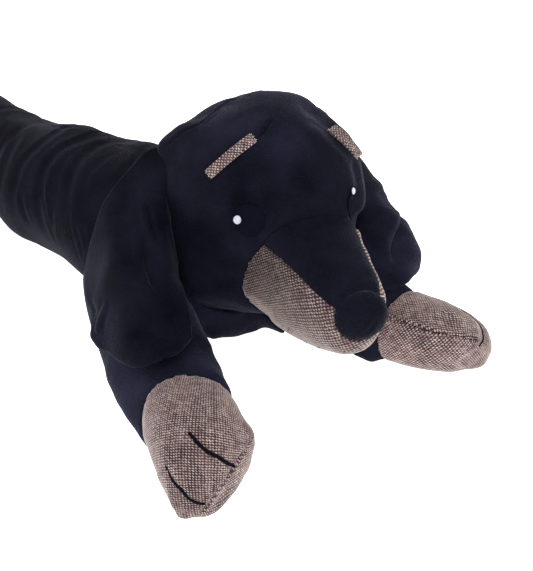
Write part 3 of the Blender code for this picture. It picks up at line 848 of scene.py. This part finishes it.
def shapeSnout():
    inner = np.array(onHead([(125, 0, -30)])[0])
    bridge = stuffed("bridge_velour", "bridge", **snout["bridge"])[0]
    levelSeam(bridge, "head", inner, 0.0003, 0.0015)
    co = places(bridge)
    outline(co, snout["bridgeOutline"])
    setPlaces(bridge, co)
    # painted shade over the whole bridge
    setPaintedShading(bridge, np.full(len(bridge.data.vertices), 0.4))
    standFor(bridge, "bridge", velour)
    nose = stuffed("nose_velour", "nose", **snout["nose"])[0]
    joined = smoothOver(bridge, nose)
    for piece, node, sink in ((bridge, "nose", 0.0004), (nose, "bridge", 0.0)):
        layOn(piece, node, joined, sink)
        co, normal = places(piece), normals(piece)
        crease = fromPicture(joined, snout["crease"])
        fold(co, normal, crease, 0.8 * mm, 0.9 * mm, shoulders=0.3, fade=0.3)
        setPlaces(piece, co)
        piece.data.set_sharp_from_angle(angle=math.radians(50))
    crescent = onHead(snout["crescent"])
    fold(co, normal, crescent, -0.5 * mm, 2.4 * mm, shoulders=0.0, fade=0.4)
    fold(co, normal, [p + Vector(seen(2.2, -1.4)) for p in crescent], 0.7 * mm, 2.2 * mm, fade=0.4)
    setPlaces(nose, co)
    # painted shade over the whole nose
    setPaintedShading(nose, np.full(len(co), 0.4))
    standFor(nose, "nose", velour)
    muzzle = stuffed("muzzle_tweed", "muzzle", **snout["muzzle"])[0]
    co = places(muzzle)
    outline(co, snout["outline"])
    setPlaces(muzzle, co)
    near = spreadFrom(snout["centre"], snout["toward"], snout["turn"], snout["scale"], 0.75)
    far = spreadFrom(snout["centre"], snout["away"], -snout["turn"], snout["scale"], 0.6)
    # the muzzle is cut as two panels
    setWeave(muzzle, lambda co, middle: np.where(inHead(middle)[:, 1:2] > snout["panelEdge"],
                                                 far(co), near(co)))
    # painted shade over the muzzle, more on its upper part toward the cheek, and painted light along
    # its upper far edge
    local = inHead(co)
    upper = smoothStep(local[:, 2], -48, -10) * smoothStep(-local[:, 1], -12, 4)
    cheek = smoothStep(-local[:, 0], -135, -75)
    edge = smoothStep(local[:, 1], 6, 12) * smoothStep(local[:, 2], -14, -4)
    setPaintedShading(muzzle, 0.12 + 0.52 * upper * (0.35 + 0.65 * cheek) - 0.6 * edge)
    standFor(muzzle, "muzzle", tweed)
    return muzzle


tweedMuzzle = shapeSnout()


# legs and paws: seams and stitched toes in mm on the floor
paws = {
    "legStuffing": {"voxel": 0.002, "rounds": 40}, "legRough": (0.04, 0.0008),
    "stuffing": {"voxel": 0.0012, "rounds": 60, "high": 0.005}, "rough": (0.025, 0.0004, 21),
    # seam and toe lines in mm on the floor, the weave as on the snout, half a seam stitch's width
    "right": {
        "seam": [(93, -145, 31), (97, -150, 27), (99, -157, 26), (101, -166, 25), (102, -175, 23),
                 (103, -184, 22), (102, -192, 19), (103, -199, 17), (102, -204, 15), (102, -208, 10)],
        "toes": [[(76, -186, 47), (80, -186, 44), (85, -186, 40), (90, -185, 37), (94, -182, 33),
                  (98, -179, 28), (102, -174, 22)],
                 [(74, -207, 35), (78, -209, 32), (84, -211, 30), (90, -211, 27), (94, -210, 22),
                  (98, -207, 18), (102, -204, 16)]],
        "centre": (80, -176, 20), "top": (0.25, -0.45, 0.85), "turn": -6,
        "under": (0.75, -0.2, -0.4), "underTurn": 20, "toeWidths": (2.9, 2.1),
        "pulls": [([(93, -214, 16), (90, -215, 20)], -2.8, -3.4, 7),
                  ([(95, -153, 32), (100, -157, 26)], 2.4, 0.4, 9),
                  ([(60, -198, 34), (66, -206, 31), (73, -210, 29)], 2.0, 0.6, 10),
                  ([(103, -190, 14), (103, -200, 12)], -1.0, 0.6, 9)],
        "legPulls": [([(-11, -161, 23), (0, -167, 25), (16, -175, 26)], -4.2, -1.2, 15),
                     ([(32, -110, 37), (44, -118, 36)], 2.4, -0.6, 9)],
        # where the outline moves in the picture: pixels, right, down, radius
        "outline": [([(146, 450), (152, 470)], 1.6, 0, 8), ([(243, 418), (250, 430)], 0.6, 0, 7),
                    ([(243, 478), (232, 494)], -1.5, -1, 9), ([(180, 514), (185, 516)], 0.5, 2.0, 6)],
        "legOutline": [([(118, 405), (130, 422), (140, 436)], -1.2, 0.3, 9),
                       ([(220, 378), (224, 390)], 1.2, 0, 6),
                       ([(229, 400), (236, 410)], -2.0, 0, 6),
                       ([(206, 338), (210, 345)], 1.2, -0.8, 5)],
        # painted shade toward the paw's front, then painted light over the paw and over the leg
        "dull": 0.2, "pale": 0.14, "legPaintedLight": 0.3, "scale": 1.0, "seamDeep": 0.8, "stitch": 0.33,
    },
    "left": {
        "seam": [(117, -13, 42), (123, -12, 43), (130, -11, 42), (136, -10, 41), (143, -9, 40),
                 (150, -6, 39), (156, -3, 37), (161, 2, 37), (167, 7, 35), (173, 11, 32),
                 (178, 16, 28)],
        "toes": [[(155, 32, 36), (160, 35, 32), (165, 36, 30), (170, 34, 28), (175, 29, 27),
                  (179, 22, 26), (180, 14, 26)]],
        "centre": (148, 14, 20), "top": (0.1, 0.1, 1.0), "turn": 135,
        "under": (0.25, -0.9, 0.3), "underTurn": -45, "toeWidths": (1.6,),
        "pulls": [([(180, 2, 14), (184, 10, 18)], -3.6, 4.6, 8)],
        "legPulls": [([(94, -14, 6), (106, -16, 7)], 0.0, -11.0, 10)],
        "outline": [([(470, 372), (488, 361)], -2.2, -2.0, 11),
                    ([(465, 311), (483, 330), (491, 350)], 0.8, 0, 11),
                    ([(414, 292), (436, 298)], 0, 1, 8)],
        "legOutline": [([(352, 354), (372, 359)], 0, 1.6, 9)],
        "dull": 0.0, "pale": 0.06, "legPaintedLight": 0.0, "scale": 0.91, "seamDeep": 1.3, "stitch": 0.5,
    },
}


def planeOf(points):
    # middle of the points and the upward normal of the plane they lie on
    points = np.array([list(p) for p in points])
    middle = points.mean(0)
    normal = np.linalg.svd(points - middle)[2][2]
    return middle, normal * (1 if normal[2] > 0 else -1)


def shapeLeg(side):
    piece, weight = stuffed("leg_" + side + "_velour", "leg_" + side,
                            neighbours=["body", "head", "paw_" + side, "muzzle"], **paws["legStuffing"])
    co, normal = places(piece), normals(piece)
    pullAll(co, paws[side]["legPulls"], onFloor, flatten=0.3)
    lift = smoothStep(co[:, 2], 0.002, 0.012)
    roughen(co, normal, *paws["legRough"], {"right": 12, "left": 11}[side], weight * lift)
    outline(co, paws[side]["legOutline"], level=True)
    restOnFloor(co)
    setPlaces(piece, co)
    # painted light over the whole leg, on the right one
    setPaintedShading(piece, np.full(len(co), -paws[side]["legPaintedLight"]))
    standFor(piece, "leg_" + side, velour)


def shapePaw(side):
    paw = paws[side]
    piece, weight = stuffed("paw_" + side + "_tweed", "paw_" + side, neighbours=["leg_" + side],
                            **paws["stuffing"])
    co, normal = places(piece), normals(piece)
    lift = smoothStep(co[:, 2], 0.002, 0.010)
    pullAll(co, paw["pulls"], onFloor)
    outline(co, paw["outline"], level=True)
    middle, upwards = planeOf(onFloor(paw["seam"]))
    paw["seamLine"] = [Vector(np.array(p) - upwards * ((np.array(p) - middle) @ upwards))
                       for p in onFloor(paw["seam"])]
    fold(co, normal, paw["seamLine"], paw["seamDeep"] * mm, 1.4 * mm, shoulders=0.5, fade=0.02)
    for toe in paw["toes"]:
        fold(co, normal, onFloor(toe), 1.0 * mm, 3.5 * mm, shoulders=0.3, fade=0.1)
    roughen(co, normal, *paws["rough"], weight * lift)
    restOnFloor(co)
    setPlaces(piece, co)
    # the two panels meet along a clean edge
    bm = bmesh.new()
    bm.from_mesh(piece.data)
    bmesh.ops.bisect_plane(bm, geom=bm.verts[:] + bm.edges[:] + bm.faces[:], dist=0.00001,
                           plane_co=middle, plane_no=upwards)
    bm.to_mesh(piece.data)
    bm.free()
    piece.data.shade_smooth()
    over = spreadFrom(paw["centre"], paw["top"], paw["turn"], paw["scale"])
    under = spreadFrom(paw["centre"], paw["under"], paw["underTurn"], paw["scale"])

    def unroll(co, faceMiddle):
        below = (faceMiddle - middle) @ upwards < 0
        return np.where(below[:, None], under(co), over(co))

    setWeave(piece, unroll)
    # painted shade toward the front of the paw, painted light over all of it
    toTip = places(piece) - np.array(onFloor([paw["centre"]])[0])
    forward = toTip @ np.array((0.3, -0.95, 0))
    setPaintedShading(piece, paw["dull"] * smoothStep(forward, -0.02, 0.015) - paw["pale"])
    standFor(piece, "paw_" + side, tweed)
    return piece


for side in ("right", "left"):
    shapeLeg(side)
pawPieces = {side: shapePaw(side) for side in ("right", "left")}


# ears

ears = {
    # faces across and along the flap, its thickness, the share of it left at the edge, and how far
    # in it is full (share of the flap)
    "faces": (90, 100), "thick": 0.0046, "edge": 0.25, "full": 0.035, "rough": (0.05, 0.0009),
    # rows of places across the flap from its root to its lower edge, four to a row
    "right": {
        "rows": [
            [(-18, -75, 74), (-24, -70, 101), (-35, -60, 121), (-43, -38, 142)],
            [(-9, -86, 73), (-20, -94, 101), (-44, -80, 118), (-66, -54, 130)],
            [(0, -95, 70), (-18, -106, 93), (-52, -97, 103), (-75, -83, 112)],
            [(12, -107, 68), (-5, -117, 82), (-42, -114, 92), (-79, -102, 85)],
            [(23, -115, 67), (11, -128, 74), (-20, -134, 82), (-79, -114, 54)],
            [(29, -120, 66), (22, -139, 70), (1, -155, 74), (-43, -146, 50)],
            [(33, -126, 65), (34, -152, 66), (25, -172, 64), (-10, -164, 48)],
        ],
        "corner": 0.05, "dull": 0.4, "flat": (0.105, 0.125), "rests": ["leg_right", "body"],
        # where the outline moves (line, right, up, radius), folds (depth, width, line) and overlaps
        "pulls": [([(-57, -48, 136), (-50, -52, 133)], -4.0, 3.0, 14),
                  ([(-30, -154, 51), (-21, -159, 50)], -2.4, -1, 10),
                  ([(5, -169, 57), (18, -172, 63)], 0, -1.0, 12),
                  ([(-53, -137, 55), (-48, -141, 56)], 2.4, 0.4, 7),
                  ([(33, -131, 68), (34, -140, 68)], 0.6, -5.0, 11),
                  ([(33, -154, 69), (28, -160, 67)], 0, -1.8, 10)],
        "folds": [(-2.2, 2.8, [(-33, -139, 76), (-30, -145, 67), (-29, -150, 60), (-26, -155, 53)]),
                  (1.8, 3.5, [(-53, -137, 55), (-42, -142, 58), (-38, -146, 60)]),
                  (1.2, 2.2, [(-30, -73, 113), (-38, -80, 110), (-46, -84, 108)]),
                  (1.0, 2.2, [(-26, -75, 106), (-33, -84, 104)]),
                  (1.2, 2.2, [(-34, -66, 121), (-42, -72, 119), (-50, -74, 117)]),
                  (1.0, 2.6, [(12, -118, 73), (16, -128, 72), (22, -136, 70)])],
        # in the picture: where the outline moves (pixels, right, down, radius), and the creases
        # (height of an overlapping fold or 0, depth, width, reach and fades of the overlap, pixels)
        "outline": [([(171, 205), (178, 232), (183, 255), (186, 278)], -6, 0, 12),
                    ([(188, 294), (190, 300)], -1.5, 0, 7), ([(193, 332), (195, 336)], 0, 3, 6),
                    ([(196, 312), (197, 332)], -3, 0, 9), ([(160, 152), (163, 168)], 4, 0, 9),
                    ([(91, 340), (94, 348)], -3, 0, 7), ([(86, 308), (89, 325)], 1, 0, 8)],
        "creases": [(0, 5.4, 1.6, 0, (), [(147, 203), (149, 213), (152, 228), (159, 246)]),
                    (0, 2.0, 3.0, 0, (), [(166, 170), (167, 200), (171, 225), (174, 245), (177, 262),
                                          (181, 280)]),
                    (-4.2, 1.1, 1.9, 14, (0.2, 0.35), [(141, 224), (139, 240), (139, 256), (143, 275),
                                                       (149, 291), (158, 305)])],
    },
    "left": {
        "rows": [
            [(50, 52, 59), (47, 58, 85), (35, 66, 106), (14, 67, 129)],
            [(57, 38, 61), (56, 70, 79), (42, 83, 94), (20, 81, 110)],
            [(70, 22, 62), (68, 72, 71), (46, 94, 77), (24, 95, 84)],
            [(85, 7, 62), (80, 70, 63), (55, 101, 61), (31, 106, 58)],
            [(98, 0, 61), (91, 64, 55), (69, 99, 44), (43, 111, 34)],
            [(109, -4, 60), (103, 58, 47), (82, 95, 29), (58, 110, 17)],
            [(116, -5, 58), (113, 50, 38), (93, 84, 17), (72, 102, 9)],
        ],
        "corner": 0.34, "dull": 0.0, "flat": (0.105, 0.11), "rests": ["leg_left"],
        "pulls": [([(49, 81, 88), (57, 78, 83)], -2.6, -0.8, 11),
                  ([(61, 82, 76), (73, 78, 70)], -3.2, -1.2, 10),
                  ([(112, 42, 50), (109, 51, 49)], -1.6, 1.6, 8),
                  ([(92, 67, 56), (100, 55, 54)], 1.8, 0, 12)],
        "folds": [(1.2, 4.0, [(60, 40, 66), (72, 34, 65), (84, 22, 63)])],
        "outline": [([(386, 192), (394, 203), (400, 214)], -3.6, 1.8, 8),
                    ([(403, 219), (411, 229)], 1.2, -0.8, 7), ([(379, 187), (382, 193)], 2.4, -0.4, 7),
                    ([(393, 200), (398, 208)], -2.4, 1.0, 6), ([(400, 217), (404, 223)], 1.6, -0.5, 7),
                    ([(378, 281), (390, 281)], 0, 10, 12), ([(414, 279), (421, 274)], -2.5, -2, 6),
                    ([(404, 279), (407, 279)], 0, 3, 8), ([(421, 268), (421, 273)], -2.5, 0, 8),
                    ([(413, 235), (418, 250)], 1.5, 0, 9)],
        "creases": [(-6.5, 1.5, 1.4, 13, (0.18, 0.3), [(393, 206), (396, 217), (394, 227), (390, 237),
                                                       (387, 247), (387, 258), (391, 270)])],
    },
}


def shapeEar(side):
    ear = ears[side]
    rows = np.array(ear["rows"], float)
    bm = bmesh.new()
    across, along = ears["faces"]
    bmesh.ops.create_grid(bm, x_segments=across, y_segments=along, size=0.5)
    bm.verts.ensure_lookup_table()
    st = np.array([(v.co.x + 0.5, v.co.y + 0.5) for v in bm.verts])
    s, t = st[:, 0], st[:, 1]
    t = t * (1 - ear["corner"] * np.abs(2 * s - 1) ** 5)
    columns = np.stack([curveThrough(rows[:, k], t) for k in range(4)], axis=1)
    place = s * 3
    k = np.minimum(place.astype(int), 2)
    u = (place - k)[:, None]
    padded = np.concatenate([2 * columns[:, :1] - columns[:, 1:2], columns,
                             2 * columns[:, 3:] - columns[:, 2:3]], axis=1)
    co = bend(*(padded[np.arange(len(k)), k + j] for j in range(4)), u)
    co = (co + np.array(footprintMiddle)) * mm
    for v, place in zip(bm.verts, co):
        v.co = place
    bmesh.ops.recalc_face_normals(bm, faces=bm.faces)
    piece = fromBmesh("ear_" + side + "_flap", bm)
    co, normal = places(piece), normals(piece)
    if ((co - np.array(headMatrix.translation)) * normal).sum() < 0:
        normal = -normal
    pullAll(co, ear["pulls"], onFloor)
    for depth, width, line in ear["folds"]:
        fold(co, normal, onFloor(line), depth * mm, width * mm, shoulders=0.2, fade=0.18)
    outline(co, ear["outline"])
    setPlaces(piece, co)
    tree = surfaceTree(piece)
    for height, depth, width, reach, fades, pixels in ear["creases"]:
        line = fromPicture(tree, pixels)
        if height:
            overlap(co, normal, line, height * mm, width * mm, reach * mm, fades)
            depth = -depth
        fold(co, normal, line, depth * mm, width * mm, shoulders=0.2, fade=0.2)
    roughen(co, normal, *ears["rough"], {"right": 31, "left": 32}[side])
    setPlaces(piece, co)
    # two layers, full in the middle and thin at the edge
    edge = np.minimum.reduce([st[:, 0], 1 - st[:, 0], st[:, 1], 1 - st[:, 1]])
    group = piece.vertex_groups.new(name="plump")
    full = np.sqrt(np.clip(1 - (1 - np.clip(edge / ears["full"], 0, 1)) ** 2, 0, 1))
    for index, level in enumerate(full):
        group.add([index], float(max(ears["edge"], level)), "REPLACE")
    bake(piece, "SOLIDIFY", thickness=ears["thick"], offset=0.0, vertex_group="plump",
         use_even_offset=False)
    bake(piece, "SUBSURF", levels=1, render_levels=1)
    # painted shade over the whole flap, on the right ear
    setPaintedShading(piece, np.full(len(piece.data.vertices), ear["dull"]))
    standFor(piece, "ear_" + side, velour)
    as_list(ear["rests"])


for side in ("right", "left"):
    shapeEar(side)


# eyes, glints and brows

patches = {
    # eyes and glints stand where these directions from the skull's middle meet it (degrees out and up)
    "eye": {"right": (34.5, 16.2), "left": (31.0, 17.6), "radius": 11.0, "thick": 0.5},
    "glint": {"right": (40.0, 15.8), "left": (26.9, 24.8), "radius": {"right": 2.9, "left": 2.2}},
    # each brow runs between two places on the skull; the left one stands off where it turns away
    "brow": {
        "thick": 1.3,
        "right": {"ends": ((30, -59, 42), (32, -29, 66)), "width": 7.4, "slope": 9.0, "dull": 0.0,
                  "taper": 0.0, "longer": 0.0, "moved": (0, 0), "seed": 5},
        "left": {"ends": ((29, 33, 66), (40, 49, 50)), "width": 8.7, "slope": 1.6, "dull": 0.1,
                 "taper": 0.15, "longer": 1.6, "moved": (2.2, -1.3), "seed": 6},
    },
}


def patchAxes(place, side):
    a, e = math.radians(place[0]), math.radians(place[1])
    sign = -1 if side == "right" else 1
    direction = Vector((math.cos(e) * math.cos(a), sign * math.cos(e) * math.sin(a), math.sin(e)))
    sideways = Vector((0, 0, 1)).cross(direction).normalized()
    up = direction.cross(sideways)
    rotate = headMatrix.to_3x3()
    return rotate @ direction, rotate @ sideways, rotate @ up


def onSkull(place, side, points, lift):
    # lay flat (across, up) points in mm on the skull along one direction
    direction, sideways, up = patchAxes(place, side)
    centre = headMatrix.translation
    out = []
    for a, b in points:
        start = centre + direction * 0.14 + sideways * a * mm + up * b * mm
        hit, normal, _, _ = skullTree.ray_cast(start, -direction)
        out.append(hit + (normal * 0.5 + direction * 0.5).normalized() * lift * mm)
    return out


def makeEye(side):
    eye = patches["eye"]
    bm = bmesh.new()
    bmesh.ops.create_circle(bm, cap_ends=True, cap_tris=False, segments=48, radius=eye["radius"])
    for width in (0.9, 2.5, 3.0, 2.6):
        bmesh.ops.inset_region(bm, faces=[f for f in bm.faces if len(f.verts) > 4],
                               thickness=width, use_even_offset=True)
    bmesh.ops.poke(bm, faces=[f for f in bm.faces if len(f.verts) > 4])
    flat = [(v.co.x, v.co.y) for v in bm.verts]
    for v, place in zip(bm.verts, onSkull(eye[side], side, flat, 0.4)):
        v.co = place
    piece = fromBmesh("eye_" + side + "_disc", bm)
    bake(piece, "SOLIDIFY", thickness=eye["thick"] * mm, offset=1.0)
    bake(piece, "BEVEL", width=0.0004, segments=2)
    standFor(piece, "eye_" + side, eyeSatin)


def addStitch(bm, middle, along, out, length, radius):
    # one flattened grain of thread, its ends pulled in
    along, out = Vector(along).normalized(), Vector(out)
    out = (out - along * out.dot(along)).normalized()
    side = out.cross(along)
    turn = Matrix((along, side, out)).transposed().to_4x4()
    matrix = Matrix.Translation(middle) @ turn @ Matrix.Diagonal((length / 2, radius, radius * 0.8, 1))
    bmesh.ops.create_uvsphere(bm, u_segments=6, v_segments=6, radius=1.0,
                              matrix=matrix @ Matrix.Rotation(math.pi / 2, 4, "Y"))


def makeGlint(side):
    glint = patches["glint"]
    radius = glint["radius"][side]
    direction, sideways = patchAxes(glint[side], side)[:2]
    bm = bmesh.new()
    count = 11
    for k in range(count):
        b = (k / (count - 1) - 0.5) * 2 * (radius - 0.3)
        half = math.sqrt(max(radius ** 2 - b ** 2, 0.4))
        middle = onSkull(glint[side], side, [(0, b)], 2.2 + 0.35 * half / radius)[0]
        addStitch(bm, middle, sideways, direction, 2 * half * mm, 0.42 * mm)
    standFor(fromBmesh("glint_" + side + "_stitched", bm), "glint_" + side, whiteThread)


def makeBrow(side):
    brow = patches["brow"][side]
    ends = onHead(brow["ends"])
    centre = (ends[0] + ends[1]) / 2 + Vector(seen(*brow["moved"]))
    direction = Vector(toViewer)
    sideways = ends[1] - ends[0]
    sideways -= direction * sideways.dot(direction)
    half = sideways.length / 2 / mm + brow["longer"]
    sideways.normalize()
    up = direction.cross(sideways)
    if up.z < 0:
        up, sideways = -up, -sideways
    wide = brow["width"]
    bm = bmesh.new()
    bmesh.ops.create_grid(bm, x_segments=44, y_segments=10, size=0.5)
    flat = [(v.co.x * 2 * half, v.co.y * wide) for v in bm.verts]
    dice = random.Random(brow["seed"])
    ragged = [dice.uniform(-0.5, 0.5) for _ in range(40)]

    def depth(a, b):
        start = centre + direction * 0.03 + (sideways * a + up * b) * mm
        hit = skullTree.ray_cast(start, -direction)
        return start, hit[3] if hit[0] is not None else 1.0

    for v, (a, b) in zip(bm.verts, flat):
        b *= 1 - brow["taper"] * a / half
        a += ragged[int(b + 20)] * smoothStep(abs(a), half - 2.5, half)
        inner = depth(a, -wide / 2)[1]
        start, far = depth(a, b)
        far = min(far, inner + brow["slope"] * (b + wide / 2) * mm)
        v.co = start - direction * (far - 0.4 * mm)
    bm.normal_update()
    for v in bm.verts:
        v.co += v.normal * 0.1 * mm
    # the strip is cut on the bias
    layer = bm.loops.layers.uv.new("weave")
    for face in bm.faces:
        for corner in face.loops:
            a, b = flat[corner.vert.index]
            corner[layer].uv = ((a - b) * 0.7071 * mm, (a + b) * 0.7071 * mm)
    piece = fromBmesh("brow_" + side + "_strip", bm)
    bake(piece, "SOLIDIFY", thickness=patches["brow"]["thick"] * mm, offset=1.0)
    bake(piece, "BEVEL", width=0.0005, segments=2)
    # painted shade over the strip, on the left brow
    setPaintedShading(piece, np.full(len(piece.data.vertices), brow["dull"]))
    standFor(piece, "brow_" + side, tweed if side == "right" else smoothTweed)
    # frayed thread ends at both ends of the strip
    bm = bmesh.new()
    tree = surfaceTree(piece)
    for end in (-1, 1):
        for k in range(9):
            b = (k / 8 - 0.5) * (wide - 0.8)
            root = centre + (sideways * end * (half - 0.6) + up * b) * mm + direction * 0.03
            hit = tree.ray_cast(root, -direction)[0]
            if hit is None:
                continue
            along = sideways * end + up * dice.uniform(-0.35, 0.35) - direction * 0.25
            length = dice.uniform(1.2, 2.6)
            addStitch(bm, hit - direction * 0.6 * mm + along.normalized() * length * 0.35 * mm,
                      along, direction, length * mm, 0.3 * mm)
    addExtra("brow_" + side + "_frayed_ends", bm, creamThread)


for side in ("right", "left"):
    makeEye(side)
    makeGlint(side)
    makeBrow(side)
print("face ready")


# stitched toes and seams

def snapped(tree, points, lift, step):
    # a smooth line on a surface, its places and its outward directions
    line = []
    for point in evenly(points, step):
        hit, normal = tree.find_nearest(Vector(point))[:2]
        line.append((hit + normal * lift, normal))
    return line


def makeToes(side):
    paw = paws[side]
    tree = surfaceTree(pawPieces[side])
    dice = random.Random(3)
    bm = bmesh.new()
    for toe, width in zip(paw["toes"], paw["toeWidths"]):
        line = snapped(tree, onFloor(toe), 0.0002, 0.0005)
        for k in range(1, len(line) - 1):
            along = (line[k + 1][0] - line[k - 1][0]).normalized()
            across = along.cross(line[k][1]) + along * 0.3
            narrow = 0.7 + 0.3 * math.sin(math.pi * k / len(line)) ** 0.6
            addStitch(bm, line[k][0], across, line[k][1],
                      (width * narrow + dice.uniform(-0.3, 0.3)) * mm, 0.42 * mm)
    addExtra("toe_lines_" + side, bm, blackThread)
    # running stitches along the seam between the two panels, some of them hidden in the cloth
    bm = bmesh.new()
    step, hidden = 0.4, 0.15
    line = snapped(tree, paw["seamLine"], 0.0, step * mm)
    k = 3
    while k < len(line) - 4:
        length = dice.uniform(1.6, 3.0)
        if dice.random() > hidden:
            along = line[k + 2][0] - line[k - 2][0]
            addStitch(bm, line[k][0] - line[k][1] * dice.uniform(0.0, 0.25) * mm, along, line[k][1],
                      length * mm, paw["stitch"] * mm)
        k += int((length + 0.2) / step)
    addExtra("seam_stitches_" + side, bm, brownThread if side == "right" else blackThread)


for side in ("right", "left"):
    makeToes(side)
print("toes ready")

# loose fibres that stand out of the tweed, places in mm on the floor
frays = {"muzzle": [(89, -74, 47), (103, -79, 54), (74, -75, 51), (125, -84, 65)],
         "paw": [(105, -186, 6), (103, -205, 11)], "each": 4}


def makeFrays():
    muzzleTree, pawTree = surfaceTree(tweedMuzzle), surfaceTree(pawPieces["right"])
    dice = random.Random(9)
    bm = bmesh.new()
    rooted = [(muzzleTree, p) for p in frays["muzzle"]] + [(pawTree, p) for p in frays["paw"]]
    for tree, place in rooted:
        hit, normal = tree.find_nearest(Vector(onFloor([place])[0]))[:2]
        for _ in range(frays["each"]):
            lean = Vector([dice.uniform(-0.7, 0.7) for _ in range(3)])
            along = (normal + lean).normalized()
            length = dice.uniform(1.6, 3.0)
            middle = hit + lean * 0.6 * mm + along * length * 0.35 * mm
            addStitch(bm, middle, along, along.orthogonal(), length * mm, 0.11 * mm)
    addExtra("loose_fibres", bm, brownThread)


makeFrays()
